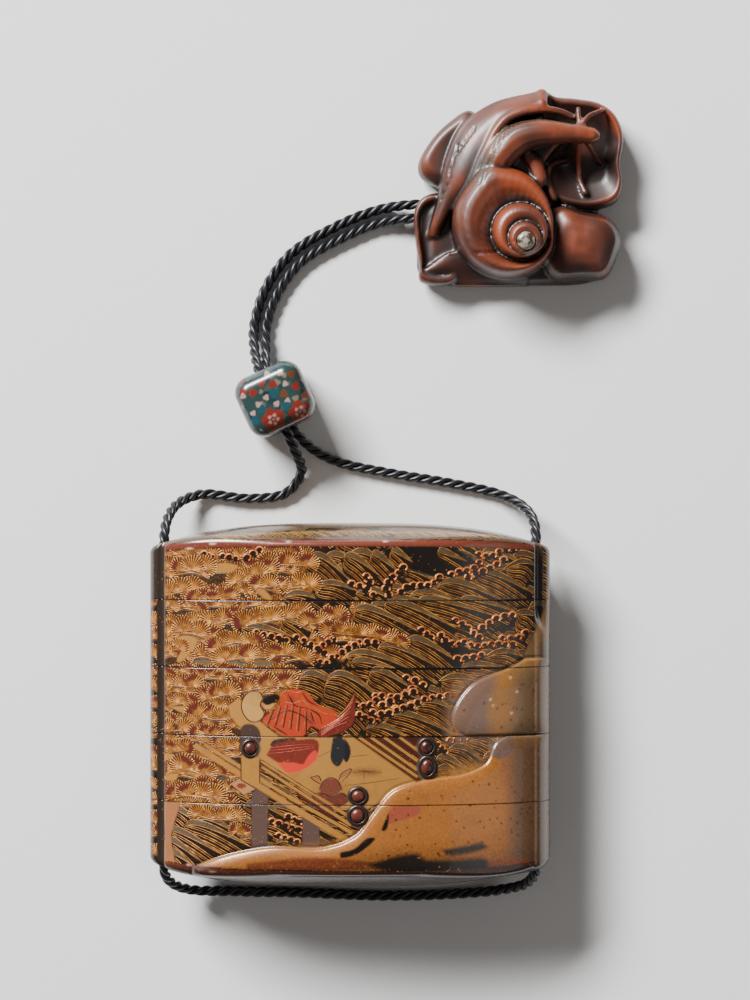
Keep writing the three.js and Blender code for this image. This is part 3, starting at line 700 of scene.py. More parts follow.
picture.shape([(-21.2, -9.4), (-17.6, -9.4), (-17.6, -14.8), (-18.3, -15.7), (-21.2, -14.1)], GOLD, 0.8,
              smooth=False)
picture.shape([(-23.5, -14.9), (-21.6, -13.7), (-18.3, -15.7), (-20.8, -17.1)], hexed("b98a5a"), 0.6,
              smooth=False)
picture.shape([(-19.2, -16.7), (-18.1, -15.8), (-15.9, -17.2), (-16.1, -28), (-19.2, -28)], SLATE,
              smooth=False)

# Rails: bars of gold with dark gaps, running down to the right on both sides of the deck.
def bars(rails, width, colour=GOLD):
    for start, stop in rails:
        (ax, ay), (bx, by) = start, stop
        length = math.hypot(bx - ax, by - ay)
        nx, ny = -(by - ay) / length * width / 2, (bx - ax) / length * width / 2
        for end in (-1, 1):
            picture.line("dark", [(ax + nx * end, ay + ny * end), (bx + nx * end, by + ny * end)], 0.2,
                         (1, 1, 1))
        picture.shape([(ax + nx, ay + ny), (bx + nx, by + ny), (bx - nx, by - ny), (ax - nx, ay - ny)],
                      colour, 0.75, smooth=False, soft=0.08)


bars([((-30.6, -7.5), (-0.4, -25.8))], 1.15)
bars([((-28.6, -7.3), (-12, -17.2)), ((-12, -17.2), (0.6, -24.3))], 0.8)
bars([((-17.2, -11.5), (0.3, -22.8))], 0.7)
picture.shape([(-10.5, -16.2), (-4.4, -19.9), (-1.6, -21.6), (-3.4, -21.4), (-9.8, -17.4)], PURPLE * 0.8,
              smooth=False)
bars([((-17.3, -10.4), (0.4, -21.4))], 0.6)
picture.shape([(-9.2, -20.5), (-5.9, -22.5), (-5.9, -28), (-9.2, -28)], SLATE, smooth=False)

# Turtle on the deck.
for stops in (((-5.9, -15.9), (-4.9, -14), (-3.7, -13.5), (-2.4, -14), (-1.4, -15.9)),
              ((-7.4, -17.2), (-5.4, -16.6), (-3.6, -17.2), (-1.4, -16.5), (-0.3, -17.6))):
    picture.line("dark", stops, 0.2, (0.8, 1, 0.8))
picture.shape(disc(-3.7, -15.5, 2.2, 1.9), hexed("6b3b30"), 0.1)
picture.shape([(-7.8, -17.4), (-5.9, -16.3), (-3.6, -16.9), (-0.9, -16.5), (-0.1, -18), (-1.7, -19.2),
               (-3.3, -19.9), (-5.9, -18.9)], hexed("5e3029"), 0.1)
picture.line("dark", [(-7.6, -13.4), (-6, -13.2), (-5.6, -14.6), (-7, -14), (-7.6, -13.4)], 0.2, (1, 1, 1))
picture.line("dark", [(-2.2, -14.2), (-1.4, -12.5), (0.4, -11.8), (-0.3, -13.1), (-1.5, -14.2)], 0.2,
             (1, 1, 1))
picture.shape([(-7.6, -13.4), (-5.9, -13.3), (-5.7, -14.4)], hexed("9a5f3c"), 0.2, smooth=False)
picture.shape([(-2, -13.8), (-1.3, -12.3), (0.3, -11.9), (-0.4, -13.1)], hexed("9a5f3c"), 0.2, smooth=False)

# Robed figure: a pale gold hat over the face, red robe, dark skirts with a bright hem.
picture.line("dark", [(-16.9, 2), (-17.5, 0.7), (-16.7, -1.1), (-17.8, -2.5), (-19.4, -2.6), (-20.8, -1.2),
                      (-21.2, 0.9), (-19.9, 3), (-17.8, 3.3), (-16.9, 2)], 0.22, (1, 1, 1))
picture.shape([(-21.2, 0.9), (-19.9, 3.0), (-17.8, 3.2), (-16.9, 2.0), (-17.5, 0.7), (-16.7, -1.1),
               (-17.8, -2.5), (-19.4, -2.5), (-20.7, -1.2)], hexed("cfa55e"), 0.75)
picture.shape([(-17.5, 1.6), (-14.1, 2.8), (-13.6, 2.0), (-14.9, 1), (-16.4, 0.6)], hexed("15120f"))
picture.shape([(-17.3, 1.1), (-14.8, 1.1), (-14.9, 0.4), (-16.4, -0.2)], hexed("c99a5e"), 0.6)
for k in range(6):
    start, stop = (-14.9 + k * 1.25, 0.2 + k * 0.25 - max(0, k - 3) * 0.9), (-16.4 + k * 1.5,
        -3.4 - k * 0.3)
    picture.line("dark", [(start[0] + 0.3, start[1]), (stop[0] + 0.42, stop[1] + 0.25)], 0.26, (0.6, 1, 1))
    picture.line("gold", [start, stop], 0.17)
for k in range(4):
    picture.line("gold", [(-13 + k * 1.2, 2.9 - k * 0.1), (-12.2 + k * 1.3, 1.4 - k * 0.25)], 0.15)
for stops in (((-13.7, 2), (-12.3, 3.5), (-10.5, 3.1), (-8.7, 3.4), (-6.2, 0.8), (-2.8, -0.5),
               (-2.2, -1.6)),
              ((-16.9, -2.3), (-15.4, -3.8), (-12.8, -5.4)), ((-13.4, 1.4), (-11, 1), (-9.4, 1.5),
                  (-7.6, 0.4)),
              ((-9.6, 2.9), (-8.4, 0.6), (-6.8, -1.6), (-6.4, -3.4)), ((-7.4, 0.4), (-5, -0.9),
                  (-2.6, -1.2)),
              ((-2.3, -1.6), (-0.2, 0.6), (1, 3)), ((-5.9, -4.1), (-2, -1.8), (0.1, 0.4), (0.9, 2.6))):
    picture.line("gold", stops, 0.18)
for stops in (((-15.3, -2.2), (-12.4, -0.4), (-9.2, -1.4), (-7.2, -3)), ((-12, 2.8), (-10.6, 0.6),
    (-8.8, 0.2)),
              ((-9.2, 3.1), (-8, 1.5), (-6.2, 0.5)), ((-8.6, 0.2), (-6, -1.2), (-5.4, -3)), ((-7.6, -0.4),
                  (-7, -2.6)),
              ((-14.9, -3.5), (-12.2, -5.2))):
    picture.line("dark", stops, 0.3)
picture.shape([(-12.4, 2.2), (-11.2, 2.6), (-10.4, 1.2), (-11.6, 0.8)], hexed("a03226"), hides=False,
              soft=0.3)
picture.shape([(-9.4, -1), (-7.4, -1.2), (-6.2, -2.8), (-7, -3.4), (-9.2, -2.4)], hexed("93382b"),
              hides=False, soft=0.4)
picture.shape([(-13.8, 2.0), (-12.2, 3.6), (-8.8, 3.4), (-6.2, 0.8), (-2.8, -0.5), (-2.3, -1.6),
               (-5.9, -4.0),
               (-7.5, -3.4), (-9.1, -5.4), (-12.8, -5.4), (-15.4, -3.8), (-17.0, -2.3), (-13.6, 0.7)],
               CINNABAR, 0.1)
for k in range(6):
    picture.line("red", [(1 - k * 0.3, 2.4 - k), (-0.8 - k * 0.5, -0.8 - k * 0.6),
                         (-5.6, -4.4 - k * 0.22)], 0.2)
picture.shape([(0.9, 3.1), (1.1, 1), (0.7, -2.9), (-2.3, -4.9), (-6.5, -5.4), (-5.7, -4.0), (-2.3, -1.6),
               (-0.3, 1)],
              hexed("65241f"), 0.1)
for k in range(3):
    picture.line("red", [(-15.8 + k * 0.3, -8.9 + k * 0.6), (-10 + k * 0.2, -8.2 + k * 0.55),
                         (-6.8, -7.6 + k * 0.3)], 0.17)
picture.shape([(-14.2, -10.6), (-10.7, -10.6), (-9.1, -10.9), (-8.2, -9.5), (-6.7, -8.1), (-6.2, -9.5),
               (-7.8, -11.2),
               (-9.6, -12.2), (-12.2, -12.6)], CRIMSON, 0.05)
picture.shape([(-16.3, -9.2), (-14.9, -7.2), (-9.9, -6.1), (-6.2, -6.3), (-6.5, -9.5), (-9.1, -11.1),
               (-13.8, -10.7)],
              hexed("6d2a24"), 0.1)
picture.shape([(-15.6, -7.2), (-15, -6.3), (-10.4, -5.9), (-10.4, -6.6), (-14.9, -7.7)], hexed("2a2a2c"),
              0.2)
picture.shape([(-3.3, -5.7), (-1.3, -5.7), (-1.2, -10.0), (-2.3, -11.4), (-3.6, -10.2)], hexed("23282d"))
picture.shape([(-1.0, -5.7), (0.1, -7.3), (0.2, -9.2), (-0.6, -10.6), (-1.3, -9.4)], hexed("1c2024"))

# Deck of the bridge: plain gold, with planks drawn in brown.
for stops in (((0.3, -9.4), (3.8, -9)), ((-1, -15), (4, -14.5), (10, -13.6)), ((-6.6, -9.6), (-3.8, -8.2),
    (-3.2, -7)),
              ((0.8, -12.5), (3.6, -12.2), (6.4, -12.6)), ((2.8, -11.7), (2.9, -13.8)), ((1.6, -11.9),
                  (5.4, -12.9))):
    picture.line("dark", stops, 0.13)
deck = [(-23.9, 0.3), (-21.7, 1.9), (-17.5, -2.7), (-13.8, -5.6), (0.6, -5.5), (13.1, -14.4), (9.7, -15.5),
        (6.7, -17.8), (3.6, -19.6), (-4.4, -19.5), (-17.2, -10.2), (-20.1, -5.1), (-23.3, -1.8)]
picture.shape(disc(3.2, -12.4, 3, 0.8), hexed("8a6238"), 0.5, hides=False, soft=0.7)
picture.shape(deck, hexed("b98b46"), 0.8, smooth=False)
bars([((1.9, -5.6), (13.3, -13.4)), ((4.2, -5.6), (13.3, -12.1)), ((6.8, -5.6), (13.3, -10.3)),
      ((9.8, -5.6), (13.3, -8.2))], 0.75)
picture.shape([(0.6, -5.5), (14, -5.5), (14, -14.5), (13.1, -14.4)], PURPLE * 0.55, smooth=False)

# Pines: pads of needles that fan out over a branch, purple where the lacquer shows between.
def pine(canvas, stops, reach, ruddy):
    base = soft_line(stops, 0.2)
    count = max(1, round(np.linalg.norm(base[-1] - base[0]) / (reach * 0.74)))
    canvas.line("gold", [(x, y - 0.1) for x, y in stops], 0.3, (0.4, 1, 0.5))
    canvas.line("dark", [(x, y - 0.42) for x, y in stops], 0.3, (0.4, 1, 0.5))
    fans = list(range(count + 1))
    chance.shuffle(fans)
    for k in fans:
        share = k / count
        x, y = base[round(share * (len(base) - 1))] + (0, chance.uniform(-0.15, 0.3))
        lean = math.radians(134 - 88 * share + chance.uniform(-8, 8))
        long = reach * chance.uniform(0.88, 1.08)
        needles = round(5 + 3.1 * long)
        red = chance.random() < ruddy
        bare = chance.choice(((0, 0.45), (0.3, 0.75), (0.55, 1))) if red else (2, 2)
        rim, patch = [], []
        for n in range(needles + 1):
            part = n / needles
            angle = lean + math.radians(84) * (2 * part - 1)
            length = long * (1 - 0.2 * abs(2 * part - 1) ** 2) * chance.uniform(0.94, 1.05)
            ray = np.array([math.cos(angle), math.sin(angle) * 0.94]) * length
            rim.append((x + ray[0] * 0.97, y + ray[1] * 0.97))
            fringe = bare[0] <= part <= bare[1]
            if fringe:
                patch.append((x + ray[0] * 0.93, y + ray[1] * 0.93))
            canvas.line("gold", [(x, y) + ray * (0.8 if fringe else 0.12), (x, y) + ray], 0.25,
                        (0.8, 0.95, 0.9))
            canvas.line("pale", [(x, y) + ray * 0.9, (x, y) + ray * 1.01], 0.27, (0.7, 1, 1))
        if len(patch) > 2:
            inner = [(x + (px - x) * 0.45, y + (py - y) * 0.45) for px, py in patch[::-1]]
            canvas.shape([*patch, *inner], PURPLE, 0.0, hides=False, smooth=False, soft=0.2)
        canvas.shape(disc(x, y + long * 0.16, long * 0.36, long * 0.3, 10), hexed("94652a"), 0.5,
                     hides=False, soft=0.5)
        canvas.shape([(x, y - 0.35), *rim], hexed("4c2116") if red else hexed("573012"), 0.1, smooth=False)


for stops, reach, ruddy in (
    # bottom box and third box
    (((-22, -24.4), (-20.9, -24.9)), 2.2, 0.8), (((-29.8, -21.3), (-26, -22), (-22.6, -21.6)), 2.6, 0.6),
    (((-34.4, -17.8), (-31.4, -17.4), (-27, -17.9)), 2.9, 0.5), (((-35, -12.9), (-31.7, -12.4),
        (-28.6, -13.3)), 3.1, 0.5),
    (((-35.8, -9), (-32.6, -8.6)), 2.6, 0.3), (((-25.4, -8.3), (-22.8, -7.8)), 2.2, 0.5),
    # second box
    (((-29.8, -5.5), (-25, -5.4)), 2.1, 0.7), (((-35.8, -4.8), (-33, -4.6)), 2.6, 0.1),
    (((-31.7, -3.1), (-30.4, -3.2)), 1.8, 0.8),
    (((-22.3, -3.7), (-20.9, -4.2)), 1.9, 0.8), (((-29.8, -1.6), (-26.5, -2.3), (-23.2, -2)), 2.9, 0.4),
    (((-35.4, 0.4), (-31.7, 0.8)), 2.2, 0.3), (((-27.9, 1.8), (-24, 2.7)), 2.8, 0.4),
    (((-35.6, 4.2), (-31, 4)), 2.8, 0.6), (((-21.7, 3.2), (-17.8, 3.9), (-12.6, 4.5)), 2.7, 0.8),
    (((-29.2, 6), (-25.8, 5.7)), 2.1, 0.7),
    # first box
    (((-14.3, 10.6), (-11.7, 10.5), (-8.9, 9.6)), 2.6, 0.8), (((-24.3, 9.6), (-20.1, 9.9), (-15.6, 10)),
        3.0, 0.5),
    (((-26, 11.6), (-22.8, 12.8), (-18.8, 12.5)), 2.8, 0.6), (((-36.2, 11), (-33.8, 11.4)), 2.6, 0.5),
    (((-3.6, 15), (-0.3, 14.6), (4.4, 14.2), (9.8, 12.6)), 2.5, 0.6), (((-35.4, 14.2), (-31.7, 14.6),
        (-27.6, 13.5)), 3.2, 0.6),
    (((-7.8, 16.6), (-4.9, 17.1), (-2.2, 18.1)), 2.6, 0.9), (((-20.4, 16.4), (-16.4, 17.1), (-10, 18.2)),
        3.2, 0.2),
    (((-27, 16.6), (-22.6, 17.8)), 2.7, 0.5),
    # lid
    (((-30.4, 21.1), (-27, 21.2), (-23.6, 21.5)), 2.4, 0.6), (((-17.4, 23.8), (-13.8, 24)), 2.5, 0.9),
    (((-11.6, 23.7), (-7.8, 24.1)), 2.8, 0.7), (((-35.8, 22.2), (-31.4, 23.2)), 3.2, 0.3),
    (((-22, 24.6), (-19.4, 25.3), (-16, 26.9)), 2.9, 0.3), (((-35.8, 27), (-32.5, 27), (-28.8, 27.4)),
        3.0, 0.4),
    (((-15.6, 28.3), (-12.2, 28.2), (-8.4, 28)), 2.6, 1.0),
):
    pine(picture, stops, reach, ruddy)

# Trunk and branches: plain gold bars with knots.
picture.shape([(-37.2, -18.9), (-33.9, -19.1), (-34.8, -23.3), (-35.4, -26.0), (-34.8, -31.6),
               (-37.6, -31.4),
               (-36.6, -26.1)], hexed("9c6b4a"), 0.3)
for stops in (
    ((-26.6, 28.1), (-24.5, 28.4), (-21.8, 27.8), (-23.3, 26.7), (-26.6, 26.6)),
    ((-20.4, 24.7), (-18.3, 24.4), (-15.1, 21.3), (-16.4, 21.4), (-19.1, 23.6)),
    ((-32.5, 14.9), (-30, 13.2), (-31.4, 10.8), (-33.6, 8.7), (-34.2, 9), (-33.3, 11.2), (-34.1, 12.8)),
    ((-36.6, 0.8), (-34.7, 0.6), (-31.4, -0.7), (-31.9, -1.4), (-35.2, -0.3)),
    ((-36.9, -8.4), (-35.2, -9.5), (-33.9, -12.6), (-34.4, -14.5), (-36.9, -14.4)),
):
    picture.shape(stops, GOLD, 0.75)


# Waves: an olive crest over gold lines that fall away to the right.
CREST_BAND = 1.15         # width of the olive crest


def wave(canvas, foot, crest, tail, lines):
    foot, crest, tail = (np.array(p, float) for p in (foot, crest, tail))
    t = np.linspace(0, 1, 15)[:, None]
    bend = crest * 2 - (foot + tail) / 2 + (tail - foot) * -0.06
    top = foot * (1 - t) ** 2 + bend * 2 * t * (1 - t) + tail * t**2
    across = np.array([-0.42, -0.91])
    low = top + across * CREST_BAND * np.sin(t**0.8 * math.pi) ** 0.8
    for curve, width in ((top, 0.24), (low, 0.18)):
        canvas.line("gold", curve[::2], width, (0.4, 1, 0.7))
    for k in range(1, 4):
        share = 0.26 * k
        canvas.line("dark", (top + (low - top) * share)[1:-2:2], 0.13, (0.3, 1, 0.3))
    canvas.shape([*map(tuple, top), *map(tuple, low[::-1])], OLIVE, 0.3, smooth=False)
    spread = 0.25 + 0.75 * step(t, 0, 0.5)
    for k in range(lines):
        for extra, width in ((0, 0.24), (0.38, 0.18)):
            drop = CREST_BAND + 0.35 + k + extra
            curve = top + across * drop * spread
            canvas.line("gold", curve[2 + k // 2::2] + across * 0.1, width, (0.5, 1, 0.7))
    end = top + across * (CREST_BAND + 0.6 + lines) * spread
    canvas.shape([*map(tuple, top), *map(tuple, end[::-1])], hexed("1d150f"), 0.0, smooth=False)


def foam(canvas, *stops):
    """A row of curling flecks of spray."""
    line = soft_line(stops, 1.5)
    for k, (x, y) in enumerate(line):
        turn = math.radians(chance.uniform(65, 115) + (25 if k % 2 else -20))
        size = chance.uniform(0.6, 0.82)
        arc = [(x + size * math.cos(turn + a), y + size * 0.85 * math.sin(turn + a))
               for a in np.linspace(-2.1, 2.0, 9)]
        canvas.line("foam", arc, 0.44, (1.25, 0.85, 1.4))
        canvas.shape(disc(x, y, size * 1.1, count=8), hexed("1d130d"), smooth=False)


for row in (
    ((-15.1, -22.1), (-13, -22.9), (-9.9, -23.8)), ((-13.8, -24.9), (-10.2, -26.1)), ((-11.9, -21.2),
        (-9.7, -22.2)),
    ((17.4, -7.2), (18.8, -8.5)), ((19.8, -6.4), (22.6, -6)),
    ((1.4, 0.8), (3.4, 0.6), (6.4, 2.5)), ((2, -1.1), (3.8, -2.2), (5.5, -2.6)),
    ((4.7, -0.7), (6.9, -1.1), (9.3, -0.3)),
    ((6.5, 0.7), (10, 2.4), (12.6, 3.2)), ((9.1, -0.1), (12, 0.4), (14.6, 1.8), (19.3, 2.4)),
    ((11.2, 6), (12.8, 5.5), (14.5, 4.6)), ((5.2, 2.5), (7.5, 2.3), (10.1, 2.6), (12.4, 3.8)),
    ((-18.2, 14.9), (-15.4, 14.1), (-12.3, 13.3)), ((-10.3, 13.9), (-7.8, 12.8), (-5.9, 11.5),
        (-3.4, 10.1)),
    ((-5.1, 12.5), (-3.1, 13.5)), ((-2.4, 10.2), (-0.7, 11.5), (1.1, 12.4)), ((-8.2, 9.5), (-4.4, 9)),
    ((-0.8, 11.6), (1.5, 12.9), (5.1, 13)), ((21.3, 9.6), (23.5, 9.7), (26, 10.3)),
    ((20.9, 17.1), (22.8, 16.1), (24.1, 15.0), (25.6, 13.8)), ((26.2, 15.7), (28.9, 17.4), (32.2, 18.1)),
    ((22.6, 12.9), (24.9, 12.1), (28.4, 12.4), (32.2, 12.2)), ((30.2, 13.6), (32.9, 13.5), (34.8, 14.5)),
    ((14.2, 15.3), (16.1, 13.9)), ((18, 14.3), (19.1, 13.1), (21.6, 12.5)),
    ((17.7, 25.6), (15.9, 24.2), (11.7, 23.9), (10.2, 22.8)), ((10.6, 27.6), (9.6, 26.4), (8, 25.3),
        (7.2, 23.5), (7.8, 22.2)),
    ((20.1, 26.2), (22, 26.8), (24.1, 27.1), (25.6, 28.5)), ((25.5, 30.1), (27.8, 29.7), (29.9, 30.8),
        (32.3, 31)),
    ((23.4, 25.6), (27.8, 27.4), (30.4, 29)), ((3.4, 25.9), (4, 24.7)), ((0.5, 24.4), (3.1, 23.7),
        (4.7, 22.3)),
    ((-24.9, 29.8), (-22.3, 29.3)), ((-20.1, 29.5), (-17.6, 31)), ((-28.6, 30.2), (-27.0, 29.6)),
):
    foam(picture, *row)

for foot, crest, tail, lines in (
    # bottom and third box
    ((-35.4, -28.9), (-34.1, -28.4), (-31.5, -30.9), 2), ((-35.6, -26.9), (-34.1, -26.2), (-28.8, -30.7),
        3),
    ((-35.4, -25.1), (-33, -24.1), (-25, -28.9), 4), ((-32.7, -24.3), (-28.7, -22.5), (-19.2, -27.3), 6),
    ((-34.3, -20.4), (-32.8, -20), (-29.3, -23.3), 3),
    ((16.9, -12.4), (19.1, -11), (21.7, -13.4), 2), ((16.9, -10.1), (19.6, -9.2), (24, -13), 4),
    ((18.6, -9.6), (22.4, -7.1), (27.3, -11.7), 5),
    # second box
    ((3.2, -4), (6.4, -2.7), (11.5, -5.7), 3), ((7, -2.9), (11.3, -0.4), (21.2, -5.6), 6),
    ((12.8, -0.4), (16.3, 2.1), (21, -0.8), 5), ((17.6, 5.4), (21.4, 6.8), (25.8, 5), 4),
    ((-4.9, 3.1), (-1, 7.4), (6.8, 1.2), 8), ((-10.1, 3), (-6.7, 7.4), (1.6, 1.2), 7),
    ((4, 6.6), (6.6, 8), (12.4, 3.8), 5),
    # first box
    ((0.5, 9.1), (3.3, 10), (9.3, 7.7), 3), ((-0.8, 9.8), (4.1, 11.5), (12.4, 7.5), 5),
    ((22, 8), (24.9, 9.2), (31, 7.7), 2),
    ((5.5, 11.6), (9.6, 12.8), (17.4, 8), 5), ((26.3, 9.6), (30.5, 11.6), (34.4, 9.8), 4), ((11.2, 13.1),
        (14.6, 13.9), (21.1, 9.2), 4),
    ((-21.4, 15.8), (-17.5, 16.6), (-11, 14), 3), ((-13.2, 17.6), (-11.2, 17.9), (-7.3, 15), 3),
    ((1, 18.1), (4.4, 20.2), (14, 14.8), 5), ((7, 20.2), (10.9, 21.2), (21.1, 15.6), 6),
    ((13.6, 20.7), (17.5, 21.9), (28.3, 18.1), 4), ((21.5, 20.7), (24.9, 21.9), (32.6, 18.8), 3),
    ((32.7, 18.7), (35.4, 19.1), (37, 17.7), 4),
    # lid
    ((7.3, 21.5), (10.1, 22.3), (14, 21), 1), ((-7.2, 23.2), (-3.3, 25.2), (1.5, 23), 3), ((-13.2, 21.3),
        (-9.6, 23.2), (-4.7, 20.9), 2),
    ((11.8, 22), (15.9, 23.5), (21.6, 20.7), 2), ((17.3, 23.6), (22, 25.3), (31, 20.5), 5),
    ((24.7, 25.4), (28.4, 27.1), (36.4, 22.2), 5), ((30, 26.9), (34.3, 29.2), (37, 27.6), 4),
    ((-1.1, 29.7), (1.5, 30.2), (5.6, 26.2), 3), ((-8.5, 27.4), (-5.4, 30.5), (0.5, 24.7), 5),
    ((4.6, 30.2), (6, 30.6), (9.8, 26.6), 3), ((8.4, 31.2), (9.6, 31.4), (12.4, 28.6), 2), ((17.6, 31.2),
        (19, 31.2), (23, 28.8), 1),
):
    wave(picture, foot, crest, tail, lines)

# Smaller pines and waves fill the ground behind, except where it stays black.
for blank in (((5.7, 31.4), (20.1, 31.4), (24.4, 29), (18, 26), (10.4, 27.7)), ((-2, 7.2), (4, 7),
    (8, 4.5), (2, 2), (0, 3)),
              ((12.5, 9.3), (22, 11.8), (26, 9.6), (24, 8)), ((28, 19.2), (33, 19.6), (33, 16),
                  (27, 15.4))):
    picture.shape(blank, BLACK, 0.0, soft=0.4)


def filled_in(canvas, left, right, low, high, edge, pitch=1.0):
    rows = list(np.arange(low, high, 3.3 * pitch))
    for k, y in enumerate(rows):
        for x in np.arange(left + (k % 2) * 3, right, 6.2 * pitch):
            x, up = x + chance.uniform(-1, 1), y + chance.uniform(-0.5, 0.5)
            if x < np.interp(up, *edge):
                pine(canvas, [(x, up), (x + 2, up + 0.4), (x + 4, up)], chance.uniform(2.1, 2.6), 0.6)
            else:
                wave(canvas, (x, up), (x + 3.2, up + 1.7), (x + 8.6, up - 2), 6)


pine_edge = (-31, -22, -20, -6, -5, 7, 8, 19, 20, 31), (-40, -36, -24, -24, -14, -12, -4, 2, -8, -8)
filled_in(picture, -43, 36, -30, 33, pine_edge)

# Grounds: brown-black lacquer, worn through to red under the rim and along the seams.
rim_low = [(x, 31.75 - 0.9 * abs(x / FACE_END) ** 4) for x in np.linspace(-FACE_END, FACE_END, 13)]
rim_high = [(x, 33.05 - 1.15 * abs(x / FACE_END) ** 4) for x in np.linspace(FACE_END, -FACE_END, 13)]
picture.shape([(-36.4, 31.4), (-24, 32), (-14, 31.9), (-12, 30.6), (-20, 29), (-34, 29.4)],
              hexed("6d3322"), 0.1,
              hides=False, soft=0.5)
picture.shape([(19.5, 31.8), (24.5, 31.6), (27, 29.4), (23.8, 28.8), (20.4, 30)], hexed("5e3020"), 0.05,
              hides=False, soft=0.7)
picture.shape([(-33, 7.6), (-29.8, 9.4), (-16.4, 9.9), (-12.8, 7.8)], hexed("5f5540"), 0.2, hides=False,
              soft=0.4)
picture.shape([(-24.7, -10.3), (-22, -13.3), (-23.3, -14.7), (-27.6, -12.4), (-26.5, -11.1)],
              hexed("4b4638"), 0.15, hides=False)
picture.shape([(-37, 31.6), (-37, -31.6), (-8, -31.6), (-12, 0), (-6, 31.6)], GROUND_BROWN, 0.2,
              hides=False,
              smooth=False, soft=3)

# The back carries only pines and waves.
back_picture = Picture()
filled_in(back_picture, -43, 40, -31, 31, ((-31, 0, 31), (-12, -20, -26)), 1.9)

# The rim and the domed ends, in plan: a ruddy worn rim with painted highlights, then grey-olive lacquer with
# gold waves.
ends = Picture()
# Painted highlights: small pale dashes along the rim.
for x, y, size in ((-27, 32.2, 0.5), (-31.6, 31.2, 0.5), (-12, 32.6, 0.4), (7, 32.7, 0.4)):
    ends.shape(disc(x, y, size * 1.6, size * 0.4, 8), hexed("d7b9ab"), 0.0, hides=False, soft=0.2)
for start in np.arange(-28, 27, 3.1):
    for k in range(4):
        x = start + k * 0.85 + chance.uniform(-0.2, 0.2)
        reach = chance.uniform(3.2, 5)
        y = 34.6 + chance.uniform(-0.1, 0.2) - abs(start / 37) ** 3 * 2
        ends.shape([(x, y), (x + reach * 0.5, y - 0.12), (x + reach, y - 1.1), (x + reach * 0.5, y - 0.32)],
                   hexed("a08450"), 0.5, hides=False, soft=0.07)
for x, across in ((-23, 4), (-8, 6), (4, 3), (24, 5)):
    ends.shape([(x, 35), (x + across, 34.8), (x + across + 2, 34), (x - 1, 34.2)], hexed("3d3529"), 0.1,
               hides=False, soft=0.3)
ends.shape([*rim_low, *rim_high], hexed("6e372b"), 0.1, hides=False, smooth=False, soft=0.14)

# Old lacquer yellows and darkens, the gold hillside most of all. Painted shade darkens the lower right of
# the front, the bottom dome and, with some dirt, the seams.
AGED, AGED_HILL = np.array([0.8, 0.68, 0.6]), np.array([0.74, 0.62, 0.58])
for name, (low, high, end) in SHELLS.items():
    mesh = case_pieces[name].data
    co = np.empty(len(mesh.vertices) * 3, np.float32)
    mesh.vertices.foreach_get("co", co)
    x, y, z = (co.reshape(-1, 3) / MM).T.astype(float)
    tint, gold = np.tile(hexed("1f1a16"), (len(x), 1)), np.zeros(len(x))
    front, back = np.flatnonzero(z > MID_Z + 0.4), np.flatnonzero(z < MID_Z - 0.4)
    tint[front], gold[front] = picture.paint(x[front], y[front])
    tint[back], gold[back] = back_picture.paint(x[back], y[back])
    # Plain dark lacquer on the backs of the runners and on the lid's runners; in the groove beside the left
    # panel this dark is also painted shade.
    plain_and_groove_shade = (x > -38.35) & (x < -36.75) | (x < -36.75) & (y > SEAMS[0]) | (x > 36.75) & (y > 21.4)
    plain_and_groove_shade |= (z < MID_Z) & (np.abs(x) > 36.75)
    tint[plain_and_groove_shade], gold[plain_and_groove_shade] = hexed("2f2822"), 0
    if end:
        rim_zone = np.flatnonzero(np.abs(y) > 30.3)
        shown, shine = ends.paint(x[rim_zone], np.abs(y[rim_zone]))
        bare = np.abs(shown - BLACK).sum(axis=1) < 1e-6
        over = ~bare | (np.abs(y[rim_zone]) > rim_high[6][1] - 1.15 * np.abs(x[rim_zone] / FACE_END) ** 4)
        # The bottom dome's plain ground is darker than the lid's: painted shade.
        shown[bare] = hexed("5b4d3b") if end > 0 else hexed("3f362e")
        tint[rim_zone[over]], gold[rim_zone[over]] = shown[over], shine[over]
    tint *= AGED
    landscape = depth_inside(x[front], y[front], hill_area) > 0.3
    tint[front[landscape]] *= AGED_HILL
    low_shade = step(-y, 26, 31)
    tint[front] *= (1 - 0.45 * low_shade[front] * step(x[front], -4, 4))[:, None]
    # Painted shade: the bottom dome is darkened towards its end.
    if end < 0:
        tint *= (1 - 0.7 * step(-y, 30.6, 31.8))[:, None]
    # Painted shade, with some dirt: the lacquer darkens into each seam.
    gap = np.minimum(np.abs(y - low) if end >= 0 else 99, np.abs(y - high) if end <= 0 else 99)
    tint *= (0.25 + 0.75 * step(gap, 0.04, 0.2))[:, None]
    inside = (np.abs(x) < 35.2) & (((z - MID_Z) / 11.3) ** 2 + (x / 38.4) ** 2 < 1) & (np.abs(y) < 31.6)
    tint[inside], gold[inside] = hexed("2a1612"), 0
    colours = np.column_stack([tint, np.ones(len(tint))]).astype(np.float32)
    mesh.color_attributes.new("lacquer", "FLOAT_COLOR", "POINT").data.foreach_set("color", colours.ravel())
    mesh.attributes.new("gold", "FLOAT", "POINT").data.foreach_set("value", gold.astype(np.float32))

# Raised work: lines of sprinkled gold and colour laid over the broad areas.
def drape(x):
    """Height of the face above the middle plane, on over the runner's rounded outer part."""
    across = np.abs(x)
    return np.where(across < FACE_END, face_depth(x), np.interp(across, *grooved.T))


def line_finish(name, deep, bright, metal, roughness):
    finish = Finish(name, Metallic=metal, Roughness=roughness)
    finish.feed("Base Color", finish.mix(finish.noise(700, 3).between(0.35, 0.65), deep, bright))
    return finish.material


